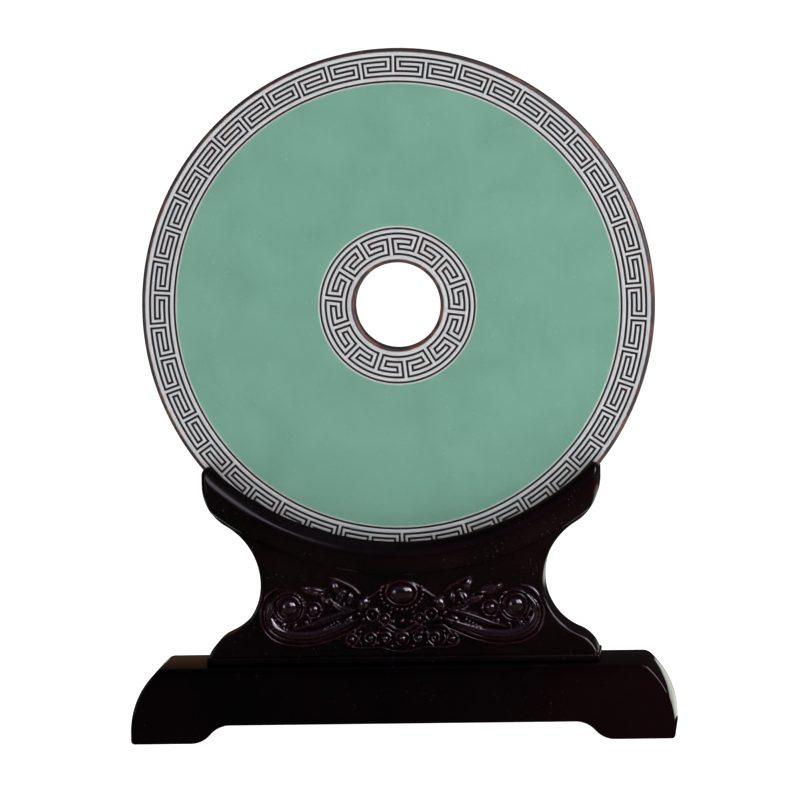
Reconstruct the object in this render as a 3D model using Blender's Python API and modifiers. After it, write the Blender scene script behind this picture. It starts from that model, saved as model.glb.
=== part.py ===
"""Round bi disc with two fret borders, resting in a carved and lacquered stand.

Units are metres and +Z is up. The front faces -Y. The origin is on the ground, under the middle of the stand.
"""
import math

import bmesh
import bpy
from mathutils import Matrix, Vector

# Disc
DISC_RADIUS = 0.150
DISC_THICKNESS = 0.016
HOLE_RADIUS = 0.025
HOLE_ROUND = 0.0022
RIM_ROUND = 0.0021
BORDER_LINE_WIDTH = 0.0011
BORDER_LINE_DEPTH = 0.0008
INNER_BORDER_RADIUS = 0.0451
OUTER_BORDER_RADIUS = 0.13075
DISC_FACETS = 64

# Frets on the disc's front face: one closed line that winds between five rings
FRET_LINE_WIDTH = 0.00105
FRET_LINE_DEPTH = 0.0009
OUTER_FRET_PAIRS = 23
OUTER_FRET_FIRST_RING = 0.1340
OUTER_FRET_LAST_RING = 0.1451
OUTER_FRET_COLUMN = 0.00275
OUTER_FRET_TURN = math.radians(0.5)
OUTER_FRET_STEP = math.radians(7.4)
INNER_FRET_PAIRS = 7
INNER_FRET_FIRST_RING = 0.0301
INNER_FRET_LAST_RING = 0.0421
INNER_FRET_COLUMN = 0.0030
INNER_FRET_TURN = math.radians(20)
INNER_FRET_STEP = math.radians(17)

# Base board
BASE_LENGTH = 0.3176
BASE_DEPTH = 0.078
BASE_HEIGHT = 0.044
BASE_EDGE_ROUND = 0.0016
END_CURVE_STEPS = 6
FOOT_SLOPE_STEPS = 6
END_CURVE_RADIUS = 0.048
END_CURVE_START = 0.007
FOOT_LENGTH = 0.035
FOOT_SLOPE_LENGTH = 0.023
FOOT_HEIGHT = 0.0105

# Upright panel of the stand
PANEL_DEPTH = 0.042
PANEL_FOOT_HALF_WIDTH = 0.115
PANEL_FOOT_CURVE = 0.020
WAIST_HALF_WIDTH = 0.0827
WAIST_HEIGHT = 0.0467
WAIST_LOWER_CURVE = 0.033
HORN_HALF_WIDTH = 0.116
HORN_CURVE = 0.028
HORN_FLANK = 0.0063
HORN_TIP_ROUND = 0.004
FOOT_CURVE_STEPS = 4
WAIST_LOWER_STEPS = 5
WAIST_UPPER_STEPS = 6
HORN_CURVE_STEPS = 5
HORN_TIP_STEPS = 3
STRIP_HEIGHT = 0.0042
STRIP_DEPTH = 0.052
STRIP_ROUND = 0.0012

# Groove and the crescent roll that follows it
SEAT_HEIGHT = 0.058
LIP_COVER = 0.012
LIP_RADIUS = 0.1606
ROLL_WIDTH = 0.0194
ROLL_DEPTH = 0.052
ROLL_CROWN_SHARE = 0.52
ROLL_EDGE_ROUND = 0.0035
ROLL_OVERLAP = 0.0039
LIP_WALL = 0.0012
CREASE_DEPTH = 0.0006
ROLL_HALF_SPAN = math.radians(60)
ROLL_FACETS = 22
ROLL_UPPER_STEPS = 4
ROLL_LOWER_STEPS = 3
ROLL_ROOM_FACETS = 64

# Relief carved on the panel's front face
BOSS_RADIUS = 0.0072
JEWEL_WIDTH = 0.0165
JEWEL_TALL = 0.0125
BEAD_COUNT = 13
BEAD_RADIUS = 0.0013
RELIEF_RISE = 0.0042

# Places in the relief: shares of the waist's half width and of the carved height
JEWEL_PLACE = (0.0, 0.814)
BOSS_PLACE = (0.802, 0.658)
SMALL_BOSS_PLACE = (0.626, 0.628)
SCROLL_PLACES = ((0.230, 0.682), (0.363, 0.474), (0.520, 0.296), (0.701, 0.247), (0.871, 0.326),
                 (0.967, 0.514), (0.955, 0.731), (0.871, 0.870), (0.750, 0.860))
ARCH_PLACES = ((0.230, 0.761), (0.157, 0.889), (0.073, 0.949))
BOWL_PLACES = ((-0.145, 0.464), (-0.073, 0.413), (0.0, 0.395), (0.073, 0.413), (0.145, 0.464))
LOBE_PLACES = ((-0.109, 0.254), (-0.054, 0.182), (0.0, 0.158), (0.054, 0.182), (0.109, 0.254))
SPIRAL_PLACE = (0.230, 0.290)
LOWER_BOSS_PLACE = (0.0, 0.287)

# Leaves and curls: place, length, width and rise as shares of the carved height, and lean in degrees
LEAVES = ((0.629, 0.820, 0.217, 0.089, 0.062, -10), (0.478, 0.870, 0.237, 0.119, 0.062, -60),
          (0.399, 0.731, 0.257, 0.109, 0.062, -50), (0.423, 0.504, 0.316, 0.128, 0.062, 25),
          (0.260, 0.682, 0.138, 0.178, 0.062, 0), (0.208, 0.557, 0.158, 0.158, 0.058, 0),
          (0.113, 0.292, 0.122, 0.122, 0.050, 0), (0.357, 0.281, 0.109, 0.109, 0.042, 0))

# Strands of the relief: thickness in the middle and at the two ends, as shares of the carved height
SCROLL_STRAND = (0.059, 0.028, 0.016)
ARCH_STRAND = (0.026, 0.016, 0.016)
LINE_STRAND = (0.024, 0.014, 0.014)
SPIRAL_STRAND = (0.028, 0.020, 0.016)
SPIRAL_RADIUS = 0.083
SPIRAL_TURNS = 1.2

# Forms of the relief: width and rise as shares of the jewel's, the boss's and the relief's own
JEWEL_RIM = (1.275, 0.6)
JEWEL_CORE = (0.85, 1.2)
BEAD_RING = (0.78, 0.98)
BEAD_RISE = 0.6
BOSS_RIM = (2.2, 0.5)
BOSS_CORE = (1.5, 1.1)
SMALL_BOSS = (1.1, 0.8)
LOWER_BOSS = (0.83, 0.6)

# Gaps between separate pieces
REST_GAP = 0.0003
SIDE_GAP = 0.0004

# Heights that follow from the sizes above
PANEL_BOTTOM = BASE_HEIGHT + REST_GAP
SEAT_Z = PANEL_BOTTOM + SEAT_HEIGHT
DISC_Z = SEAT_Z + REST_GAP + DISC_RADIUS
LIP_Z = SEAT_Z + LIP_COVER + LIP_RADIUS
CREASE_RADIUS = LIP_RADIUS + ROLL_WIDTH
WAIST_Z = PANEL_BOTTOM + WAIST_HEIGHT
PANEL_FRONT = -PANEL_DEPTH / 2
CARVED_HEIGHT = LIP_Z - CREASE_RADIUS - PANEL_BOTTOM

# Inner radius of the rings that are turned as cutters, well inside what they cut
CUTTER_CORE = DISC_RADIUS / 15

GLAZE = (0.186, 0.386, 0.301, 1.0)
LACQUER = (0.011, 0.004, 0.005, 1.0)


def clear_scene():
    """Remove what the scene holds."""
    for item in list(bpy.data.objects):
        bpy.data.objects.remove(item, do_unlink=True)


def new_collection(name):
    """Make a collection in the scene."""
    made = bpy.data.collections.new(name)
    bpy.context.scene.collection.children.link(made)
    return made


def new_material(name, colour, roughness, metallic=0.0):
    """Make a plain material."""
    material = bpy.data.materials.new(name)
    material.use_nodes = True
    shader = material.node_tree.nodes["Principled BSDF"]
    shader.inputs["Base Color"].default_value = colour
    shader.inputs["Roughness"].default_value = roughness
    shader.inputs["Metallic"].default_value = metallic
    return material


def add_mesh(name, bm, collection):
    """Turn a bmesh into an object in a collection."""
    bmesh.ops.recalc_face_normals(bm, faces=bm.faces[:])
    mesh = bpy.data.meshes.new(name)
    bm.to_mesh(mesh)
    bm.free()
    piece = bpy.data.objects.new(name, mesh)
    collection.objects.link(piece)
    return piece


def hide_cutter(piece):
    """Show a cutter or a guide as wire only."""
    piece.hide_render = True
    piece.display_type = "WIRE"
    return piece


def on_disc(radius, angle, y=0.0):
    """Point on the disc: the angle runs clockwise from the top, seen from the front."""
    return Vector((radius * math.sin(angle), y, DISC_Z + radius * math.cos(angle)))


def arc(centre_x, centre_z, radius, start, end, count):
    """Points (x, z) of an arc, both ends included, with angles from +X towards +Z."""
    steps = [start + (end - start) * i / count for i in range(count + 1)]
    return [(centre_x + radius * math.cos(a), centre_z + radius * math.sin(a)) for a in steps]


def prism(name, outline, depth, collection):
    """Extrude a closed outline of (x, z) points, centred on y = 0."""
    bm = bmesh.new()
    verts = [bm.verts.new((x, -depth / 2, z)) for x, z in outline]
    face = bm.faces.new(verts)
    moved = bmesh.ops.extrude_face_region(bm, geom=[face])["geom"]
    shift = [item for item in moved if isinstance(item, bmesh.types.BMVert)]
    bmesh.ops.translate(bm, verts=shift, vec=(0, depth, 0))
    return add_mesh(name, bm, collection)


def turned(name, profile, centre_z, facets, collection, start=0.0, sweep=2 * math.pi):
    """Turn a closed profile of (radius, y) points about a line along Y."""
    full = sweep >= 2 * math.pi
    bm = bmesh.new()
    direction = Vector((math.sin(start), 0, math.cos(start)))
    verts = [bm.verts.new(direction * radius + Vector((0, y, centre_z))) for radius, y in profile]
    edges = [bm.edges.new((verts[i - 1], verts[i])) for i in range(len(verts))]
    bmesh.ops.spin(bm, geom=verts + edges, cent=(0, 0, centre_z), axis=(0, 1, 0), angle=sweep, steps=facets,
                   use_merge=full)
    if not full:
        bmesh.ops.holes_fill(bm, edges=[edge for edge in bm.edges if edge.is_boundary], sides=0)
    return add_mesh(name, bm, collection)


def boolean(piece, operation, cutter=None, group=None):
    """Add an exact Boolean with one object or with a collection."""
    modifier = piece.modifiers.new(operation.lower(), "BOOLEAN")
    modifier.operation = operation
    modifier.solver = "EXACT"
    if group is not None:
        modifier.operand_type = "COLLECTION"
        modifier.collection = group
    else:
        modifier.object = cutter
    return modifier


def round_edges(piece, width, segments, angle=math.radians(40)):
    """Round the sharp edges of a piece. Outlines have short steps, so the width isn't held to them."""
    modifier = piece.modifiers.new("rounding", "BEVEL")
    modifier.width = width
    modifier.segments = segments
    modifier.limit_method = "ANGLE"
    modifier.angle_limit = angle
    modifier.use_clamp_overlap = False


def flatten_facets(piece):
    """Join the flat facets that lie in one plane."""
    modifier = piece.modifiers.new("flat_facets", "DECIMATE")
    modifier.decimate_type = "DISSOLVE"
    modifier.angle_limit = math.radians(0.3)


def rounded_corner(radius_edge, y_face, size, outwards, segments):
    """Points (radius, y) that round the corner between a wall and a face of the disc."""
    inward = 1 if y_face < 0 else -1
    points = []
    for i in range(segments + 1):
        turn = math.pi / 2 * i / segments
        radius = radius_edge - outwards * size * (1 - math.cos(turn))
        points.append((radius, y_face + inward * size * (1 - math.sin(turn))))
    return points


def line_notch(radius, y_face):
    """Points (radius, y) of a V-shaped line cut round the front face."""
    half = BORDER_LINE_WIDTH / 2
    return [(radius - half, y_face), (radius, y_face + BORDER_LINE_DEPTH), (radius + half, y_face)]


def disc_profile():
    """Closed profile of the disc, from the hole's front edge round to its back edge."""
    front = -DISC_THICKNESS / 2
    back = DISC_THICKNESS / 2
    hole_front = rounded_corner(HOLE_RADIUS, front, HOLE_ROUND, -1, 1)
    rim_front = rounded_corner(DISC_RADIUS, front, RIM_ROUND, 1, 2)
    rim_back = rounded_corner(DISC_RADIUS, back, RIM_ROUND, 1, 2)
    hole_back = rounded_corner(HOLE_RADIUS, back, HOLE_ROUND, -1, 1)
    profile = hole_front
    profile += line_notch(INNER_BORDER_RADIUS, front)
    profile += line_notch(OUTER_BORDER_RADIUS, front)
    profile += rim_front[::-1]
    profile += rim_back
    profile += hole_back[::-1]
    return profile


def fret_corners(half_turn, column):
    """Corners (angle, ring number) of one pair of keys, from its right side to its left side."""
    near = 0.5 * column
    second = 1.5 * column
    third = half_turn - 1.5 * column
    far = half_turn - 0.5 * column
    right = [(near, 4), (near, 1), (third, 1), (third, 2), (second, 2), (second, 3), (far, 3), (far, 0)]
    return right + [(-angle, ring) for angle, ring in reversed(right)]


def fret_path(pairs, first_ring, last_ring, column_width, turn, step):
    """Points (radius, angle) of the closed fret line, with its arcs cut into short steps."""
    half_turn = math.pi / pairs
    middle = (first_ring + last_ring) / 2
    corners = fret_corners(half_turn, column_width / middle)
    rings = [first_ring + (last_ring - first_ring) * i / 4 for i in range(5)]
    stops = []
    for pair in range(pairs):
        centre = turn - 2 * half_turn * pair
        stops += [(rings[ring], centre + angle) for angle, ring in corners]
    stops.append((stops[0][0], stops[0][1] - 2 * math.pi))
    path = []
    for (radius, angle), (next_radius, next_angle) in zip(stops, stops[1:]):
        count = 1 if radius != next_radius else max(1, math.ceil(abs(next_angle - angle) / step - 1e-6))
        path += [(radius, angle + (next_angle - angle) * i / count) for i in range(count)]
    return path


def fret_cutter(name, path, collection):
    """Cutter for a fret line: a wall along the path, made as thick as the line is wide."""
    front = -DISC_THICKNESS / 2
    bm = bmesh.new()
    verts = [bm.verts.new(on_disc(radius, angle, front - FRET_LINE_DEPTH)) for radius, angle in path]
    edges = [bm.edges.new((verts[i - 1], verts[i])) for i in range(len(verts))]
    moved = bmesh.ops.extrude_edge_only(bm, edges=edges)["geom"]
    shift = [item for item in moved if isinstance(item, bmesh.types.BMVert)]
    bmesh.ops.translate(bm, verts=shift, vec=(0, 2 * FRET_LINE_DEPTH, 0))
    cutter = hide_cutter(add_mesh(name, bm, collection))
    wall = cutter.modifiers.new("line_width", "SOLIDIFY")
    wall.thickness = FRET_LINE_WIDTH
    wall.offset = 0.0
    wall.use_even_offset = True
    return cutter


def make_disc(parts, cutters):
    """The disc: turned, with its two fret lines cut into the front face."""
    disc = turned("bi_disc", disc_profile(), DISC_Z, DISC_FACETS, parts)
    flatten_facets(disc)
    outer = fret_path(OUTER_FRET_PAIRS, OUTER_FRET_FIRST_RING, OUTER_FRET_LAST_RING, OUTER_FRET_COLUMN,
                      OUTER_FRET_TURN, OUTER_FRET_STEP)
    inner = fret_path(INNER_FRET_PAIRS, INNER_FRET_FIRST_RING, INNER_FRET_LAST_RING, INNER_FRET_COLUMN,
                      INNER_FRET_TURN, INNER_FRET_STEP)
    boolean(disc, "DIFFERENCE", fret_cutter("outer_fret_cutter", outer, cutters))
    boolean(disc, "DIFFERENCE", fret_cutter("inner_fret_cutter", inner, cutters))
    return disc


def base_outline():
    """Outline (x, z) of the base board, seen from the front."""
    half = BASE_LENGTH / 2
    rise = math.asin((BASE_HEIGHT - END_CURVE_START) / END_CURVE_RADIUS)
    right = [(half, 0.0)]
    right += arc(half - END_CURVE_RADIUS, END_CURVE_START, END_CURVE_RADIUS, 0, rise, END_CURVE_STEPS)
    foot_inner = half - FOOT_LENGTH
    slope = []
    for i in range(FOOT_SLOPE_STEPS + 1):
        share = i / FOOT_SLOPE_STEPS
        ease = (1 - math.cos(math.pi * share)) / 2
        slope.append((foot_inner - FOOT_SLOPE_LENGTH * share, FOOT_HEIGHT * ease))
    left = [(-x, z) for x, z in right]
    left_slope = [(-x, z) for x, z in slope]
    return right + left[::-1] + left_slope + slope[::-1]


def make_base(parts):
    """The base board with its curved ends, two low feet and rounded edges."""
    base = prism("base_board", base_outline(), BASE_DEPTH, parts)
    round_edges(base, BASE_EDGE_ROUND, 2, math.radians(30))
    return base


def side_outline():
    """Right-hand side (x, z) of the panel, from its foot up to the horn's tip, as tangent arcs."""
    waist_low_x = WAIST_HALF_WIDTH + WAIST_LOWER_CURVE
    foot_x = PANEL_FOOT_HALF_WIDTH - PANEL_FOOT_CURVE
    reach = WAIST_LOWER_CURVE + PANEL_FOOT_CURVE
    foot_z = WAIST_Z - math.sqrt(reach ** 2 - (waist_low_x - foot_x) ** 2)
    lean = math.atan2(WAIST_Z - foot_z, waist_low_x - foot_x)
    start = math.asin(max(-1.0, (PANEL_BOTTOM - foot_z) / PANEL_FOOT_CURVE))
    points = arc(foot_x, foot_z, PANEL_FOOT_CURVE, start, lean, FOOT_CURVE_STEPS)
    points += arc(waist_low_x, WAIST_Z, WAIST_LOWER_CURVE, math.pi + lean, math.pi, WAIST_LOWER_STEPS)[1:]
    tip_x = HORN_HALF_WIDTH - HORN_TIP_ROUND
    tip_z = LIP_Z - math.sqrt(LIP_RADIUS ** 2 - tip_x ** 2) - HORN_TIP_ROUND
    horn_x = HORN_HALF_WIDTH - HORN_CURVE
    horn_z = tip_z - HORN_FLANK
    inset = horn_x - WAIST_HALF_WIDTH
    climb = horn_z - WAIST_Z
    waist_curve = (inset ** 2 + climb ** 2 - HORN_CURVE ** 2) / (2 * (inset + HORN_CURVE))
    waist_high_x = WAIST_HALF_WIDTH + waist_curve
    lean = math.atan2(climb, waist_high_x - horn_x)
    points += arc(waist_high_x, WAIST_Z, waist_curve, math.pi, math.pi - lean, WAIST_UPPER_STEPS)[1:]
    points += arc(horn_x, horn_z, HORN_CURVE, -lean, 0, HORN_CURVE_STEPS)[1:]
    points += arc(tip_x, tip_z, HORN_TIP_ROUND, 0, math.pi / 2, HORN_TIP_STEPS)
    return points


def panel_outline():
    """Closed outline (x, z) of the panel, straight across from horn to horn."""
    right = side_outline()
    left = [(-x, z) for x, z in right]
    return right + left[::-1]


def roll_profile():
    """Closed profile (radius, y) of the crescent roll: full and round, with a crease along its foot."""
    half = ROLL_DEPTH / 2
    lip = DISC_THICKNESS / 2 + SIDE_GAP + LIP_WALL
    crown = LIP_RADIUS + ROLL_WIDTH * ROLL_CROWN_SHARE
    front = []
    for i in range(ROLL_UPPER_STEPS + 1):
        turn = math.pi / 2 * i / ROLL_UPPER_STEPS
        radius = crown - (crown - LIP_RADIUS) * math.cos(turn)
        front.append((radius, -lip - (half - lip) * math.sin(turn)))
    drop = half - PANEL_DEPTH / 2 + CREASE_DEPTH
    for i in range(1, ROLL_LOWER_STEPS + 1):
        turn = math.pi / 2 * i / ROLL_LOWER_STEPS
        radius = crown + (CREASE_RADIUS - crown) * math.sin(turn)
        front.append((radius, -half + drop * (1 - math.cos(turn))))
    front.append((CREASE_RADIUS, -PANEL_DEPTH / 4))
    return front + [(radius, -y) for radius, y in reversed(front)]


def tube(name, points, radii, group, closed=False):
    """A carved strand: a tube through (x, z) points that lies along the panel's front face."""
    curve = bpy.data.curves.new(name, "CURVE")
    curve.dimensions = "3D"
    curve.bevel_depth = 1.0
    curve.bevel_resolution = 1
    curve.use_fill_caps = True
    spline = curve.splines.new("POLY")
    spline.points.add(len(points) - 1)
    spline.use_cyclic_u = closed
    for point, (x, z), radius in zip(spline.points, points, radii):
        point.co = (x, PANEL_FRONT, z, 1.0)
        point.radius = radius
    guide = bpy.data.objects.new(name + "_line", curve)
    bpy.context.scene.collection.objects.link(guide)
    bpy.context.view_layer.update()
    evaluated = guide.evaluated_get(bpy.context.evaluated_depsgraph_get())
    mesh = bpy.data.meshes.new_from_object(evaluated)
    bpy.data.objects.remove(guide, do_unlink=True)
    bm = bmesh.new()
    bm.from_mesh(mesh)
    bpy.data.meshes.remove(mesh)
    bmesh.ops.remove_doubles(bm, verts=bm.verts[:], dist=0.00001)
    return hide_cutter(add_mesh(name, bm, group))


def knob(name, x, z, width, height, rise, group, facets=6, rings=3, lean=0.0):
    """A carved swelling: a flattened sphere, half sunk in the panel's front face."""
    bm = bmesh.new()
    size = Matrix.Diagonal((width / 2, height / 2, rise, 1.0))
    place = Matrix.Translation((x, PANEL_FRONT, z)) @ Matrix.Rotation(lean, 4, "Y")
    place = place @ Matrix.Rotation(math.pi / 2, 4, "X") @ size
    bmesh.ops.create_uvsphere(bm, u_segments=facets, v_segments=rings, radius=1.0, matrix=place)
    return hide_cutter(add_mesh(name, bm, group))


def round_knob(name, x, z, width, rise_share, group, facets=6, rings=3):
    """A round swelling, with its rise given as a share of the relief's."""
    knob(name, x, z, width, width, RELIEF_RISE * rise_share, group, facets, rings)


def smooth_path(points, count):
    """Catmull-Rom points through a few chosen ones."""
    padded = [points[0]] + points + [points[-1]]
    result = []
    for i in range(1, len(padded) - 2):
        before, here, after, later = (Vector(padded[i + k]) for k in (-1, 0, 1, 2))
        for k in range(count):
            t = k / count
            near = here + (after - before) * t / 2
            square = (before * 2 - here * 5 + after * 4 - later) * t * t / 2
            cube = (here * 3 - before - after * 3 + later) * t * t * t / 2
            result.append(tuple(near + square + cube))
    result.append(tuple(points[-1]))
    return result


def taper(count, thick, thin_start, thin_end):
    """Radii that swell from one thin end to the middle and shrink to the other."""
    radii = []
    for i in range(count):
        share = i / (count - 1)
        end = thin_start if share < 0.5 else thin_end
        radii.append(end + (thick - end) * math.sin(math.pi * share) ** 0.7)
    return radii


def spiral(centre_x, centre_z, start_radius, turns, side, count):
    """Points (x, z) of a curl that winds inwards."""
    points = []
    for i in range(count):
        share = i / (count - 1)
        radius = start_radius * (1 - 0.75 * share)
        angle = 2 * math.pi * turns * share - math.pi / 2
        points.append((centre_x + side * radius * math.cos(angle), centre_z + radius * math.sin(angle)))
    return points


def spot(place, side=1):
    """Point (x, z) of a place in the relief, on one side of the middle."""
    return side * place[0] * WAIST_HALF_WIDTH, PANEL_BOTTOM + place[1] * CARVED_HEIGHT


def strand(name, line, thickness, group):
    """A carved strand along a line, with its thickness given as shares of the carved height."""
    tube(name, line, taper(len(line), *(share * CARVED_HEIGHT for share in thickness)), group)


def carve_jewel(group):
    """The jewel in the middle, its beads, the boss below and the two curved lines."""
    x, z = spot(JEWEL_PLACE)
    for name, (width, rise) in {"jewel_rim": JEWEL_RIM, "jewel": JEWEL_CORE}.items():
        knob(name, x, z, JEWEL_WIDTH * width, JEWEL_TALL * width, RELIEF_RISE * rise, group, 12, 5)
    for i in range(BEAD_COUNT):
        angle = math.pi * ((i + 0.5) / BEAD_COUNT - 1)
        bead_x = x + JEWEL_WIDTH * BEAD_RING[0] * math.cos(angle)
        bead_z = z + JEWEL_TALL * BEAD_RING[1] * math.sin(angle)
        round_knob("bead_%d" % i, bead_x, bead_z, 2 * BEAD_RADIUS, BEAD_RISE, group, 5, 3)
    x, z = spot(LOWER_BOSS_PLACE)
    round_knob("lower_boss", x, z, BOSS_RADIUS * LOWER_BOSS[0], LOWER_BOSS[1], group)
    strand("bowl_line", [spot(place) for place in BOWL_PLACES], LINE_STRAND, group)
    strand("lower_lobe", [spot(place) for place in LOBE_PLACES], LINE_STRAND, group)


def carve_side(side, word, group):
    """One side of the relief: the scroll that ends round its boss, with leaves and curls."""
    x, z = spot(BOSS_PLACE, side)
    round_knob(word + "_boss_rim", x, z, BOSS_RADIUS * BOSS_RIM[0], BOSS_RIM[1], group, 12, 5)
    round_knob(word + "_boss", x, z, BOSS_RADIUS * BOSS_CORE[0], BOSS_CORE[1], group, 10, 5)
    x, z = spot(SMALL_BOSS_PLACE, side)
    round_knob(word + "_small_boss", x, z, BOSS_RADIUS * SMALL_BOSS[0], SMALL_BOSS[1], group)
    scroll = smooth_path([spot(place, side) for place in SCROLL_PLACES], 2)
    strand(word + "_scroll", scroll, SCROLL_STRAND, group)
    strand(word + "_arch", [spot(place, side) for place in ARCH_PLACES], ARCH_STRAND, group)
    x, z = spot(SPIRAL_PLACE, side)
    curl = spiral(x, z, SPIRAL_RADIUS * CARVED_HEIGHT, SPIRAL_TURNS, side, 9)
    strand(word + "_spiral", curl, SPIRAL_STRAND, group)
    for i, (across, up, long, wide, rise, lean) in enumerate(LEAVES):
        x, z = spot((across, up), side)
        long, wide, rise = (share * CARVED_HEIGHT for share in (long, wide, rise))
        knob("%s_leaf_%d" % (word, i), x, z, long, wide, rise, group, lean=side * math.radians(lean))


def carve_relief(group):
    """The whole relief, each side the other's mirror image."""
    carve_jewel(group)
    carve_side(1, "right", group)
    carve_side(-1, "left", group)


def make_panel(parts, cutters):
    """The upright panel with its roll, groove, foot strip and relief."""
    half = PANEL_FOOT_HALF_WIDTH
    foot = PANEL_BOTTOM + STRIP_HEIGHT / 2
    spare = HORN_HALF_WIDTH + HORN_CURVE
    slab = [(-spare, foot), (spare, foot), (spare, LIP_Z), (-spare, LIP_Z)]
    panel = prism("cradle_panel", slab, PANEL_DEPTH, parts)
    inside = CREASE_RADIUS - ROLL_OVERLAP
    ring = [(CUTTER_CORE, -spare), (inside, -spare), (inside, spare), (CUTTER_CORE, spare)]
    hollow = turned("roll_room", ring, LIP_Z, ROLL_ROOM_FACETS, cutters)
    boolean(panel, "DIFFERENCE", hide_cutter(hollow))
    roll = turned("roll", roll_profile(), LIP_Z, ROLL_FACETS, cutters, math.pi - ROLL_HALF_SPAN,
                  2 * ROLL_HALF_SPAN)
    boolean(panel, "UNION", hide_cutter(roll))
    limits = hide_cutter(prism("panel_limits", panel_outline(), ROLL_DEPTH + 2 * REST_GAP, cutters))
    round_edges(limits, ROLL_EDGE_ROUND, 2)
    boolean(panel, "INTERSECT", limits)
    corners = [(-half, PANEL_BOTTOM), (half, PANEL_BOTTOM), (half, PANEL_BOTTOM + STRIP_HEIGHT),
               (-half, PANEL_BOTTOM + STRIP_HEIGHT)]
    strip = hide_cutter(prism("foot_strip", corners, STRIP_DEPTH, cutters))
    round_edges(strip, STRIP_ROUND, 2)
    boolean(panel, "UNION", strip)
    relief = bpy.data.collections.new("relief")
    cutters.children.link(relief)
    carve_relief(relief)
    boolean(panel, "UNION", group=relief)
    radius = DISC_RADIUS + REST_GAP
    wall = DISC_THICKNESS / 2 + SIDE_GAP
    ring = [(CUTTER_CORE, -wall), (radius, -wall), (radius, wall), (CUTTER_CORE, wall)]
    groove = turned("groove", ring, DISC_Z, DISC_FACETS, cutters)
    boolean(panel, "DIFFERENCE", hide_cutter(groove))
    return panel


def main():
    """Build the whole object."""
    clear_scene()
    parts = new_collection("bi_disc_on_stand")
    cutters = new_collection("cutters")
    disc = make_disc(parts, cutters)
    panel = make_panel(parts, cutters)
    base = make_base(parts)
    disc.data.materials.append(new_material("celadon_glaze", GLAZE, 0.35))
    lacquer = {"cradle_panel": panel, "base_board": base}
    for name, piece in lacquer.items():
        piece.data.materials.append(new_material(name + "_lacquer", LACQUER, 0.12))


main()
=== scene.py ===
"""A celadon bi disc in its lacquered stand: the fine carving, the finishes, the light and the camera."""
import logging
import math
from dataclasses import dataclass, field
from enum import Enum
from typing import ClassVar

import bmesh
import bpy
import numpy as np
from mathutils import Matrix, Vector


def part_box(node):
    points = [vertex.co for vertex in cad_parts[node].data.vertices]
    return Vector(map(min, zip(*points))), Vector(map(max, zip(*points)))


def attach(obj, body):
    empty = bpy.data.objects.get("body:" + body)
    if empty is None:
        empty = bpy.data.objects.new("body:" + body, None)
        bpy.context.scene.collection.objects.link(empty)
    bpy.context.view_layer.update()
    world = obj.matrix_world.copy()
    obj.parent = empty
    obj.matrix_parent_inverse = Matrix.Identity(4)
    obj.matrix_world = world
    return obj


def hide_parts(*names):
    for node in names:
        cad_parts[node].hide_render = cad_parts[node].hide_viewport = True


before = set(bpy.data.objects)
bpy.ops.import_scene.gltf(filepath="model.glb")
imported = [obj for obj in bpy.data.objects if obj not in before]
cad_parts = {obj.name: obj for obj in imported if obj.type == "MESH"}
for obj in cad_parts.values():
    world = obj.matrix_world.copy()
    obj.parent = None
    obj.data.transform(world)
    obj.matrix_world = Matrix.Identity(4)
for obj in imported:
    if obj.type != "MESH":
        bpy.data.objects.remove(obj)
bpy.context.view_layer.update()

log = logging.getLogger("bi_disc")

BODY = "root"
MERGE = 0.000002
NEAR = 0.00002
CREASE = math.radians(32)
ROUND_STEPS = 360

Colour = tuple[float, float, float, float]
Triple = tuple[float, float, float]
Point = tuple[float, float]
Stops = tuple[tuple[float, Triple], ...]
Edges = list[bmesh.types.BMEdge]
Socket = bpy.types.NodeSocket


class Side(Enum):
    """The two faces of the stand: the carved one that shows, and the plain one behind."""

    FRONT = -1
    BACK = 1


def paint(red: int, green: int, blue: int) -> Colour:
    """Turn a colour as a screen shows it into the linear one that a shader takes.

    Args:
        red: Red, from 0 to 255.
        green: Green, from 0 to 255.
        blue: Blue, from 0 to 255.

    Returns:
        The linear colour, with full alpha.
    """
    shares = [value / 255 for value in (red, green, blue)]
    linear = [share / 12.92 if share <= 0.04045 else ((share + 0.055) / 1.055) ** 2.4 for share in shares]
    return (linear[0], linear[1], linear[2], 1.0)


def make_piece(name: str, bm: bmesh.types.BMesh, crease: float = CREASE) -> bpy.types.Object:
    """Turn a bmesh into a smooth-shaded object at the origin.

    Args:
        name: The object's name.
        bm: The mesh, which is freed.
        crease: Edges that turn more than this stay sharp.

    Returns:
        The new object.
    """
    bmesh.ops.recalc_face_normals(bm, faces=bm.faces[:])
    mesh = bpy.data.meshes.new(name)
    bm.to_mesh(mesh)
    bm.free()
    mesh.shade_smooth()
    mesh.set_sharp_from_angle(angle=crease)
    piece = bpy.data.objects.new(name, mesh)
    bpy.context.scene.collection.objects.link(piece)
    return piece


def cut_away(piece: bpy.types.Object, cutters: list[bpy.types.Object]) -> None:
    """Subtract cutters from a piece for good, and remove them.

    Args:
        piece: The piece that is cut.
        cutters: Closed solids to take away.
    """
    for number, cutter in enumerate(cutters):
        modifier = piece.modifiers.new("cut_%d" % number, "BOOLEAN")
        modifier.operation = "DIFFERENCE"
        modifier.solver = "EXACT"
        modifier.object = cutter
    bpy.context.view_layer.update()
    evaluated = piece.evaluated_get(bpy.context.evaluated_depsgraph_get())
    mesh = bpy.data.meshes.new_from_object(evaluated)
    piece.modifiers.clear()
    piece.data = mesh
    mesh.shade_smooth()
    mesh.set_sharp_from_angle(angle=CREASE)
    for cutter in cutters:
        bpy.data.objects.remove(cutter, do_unlink=True)


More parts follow.
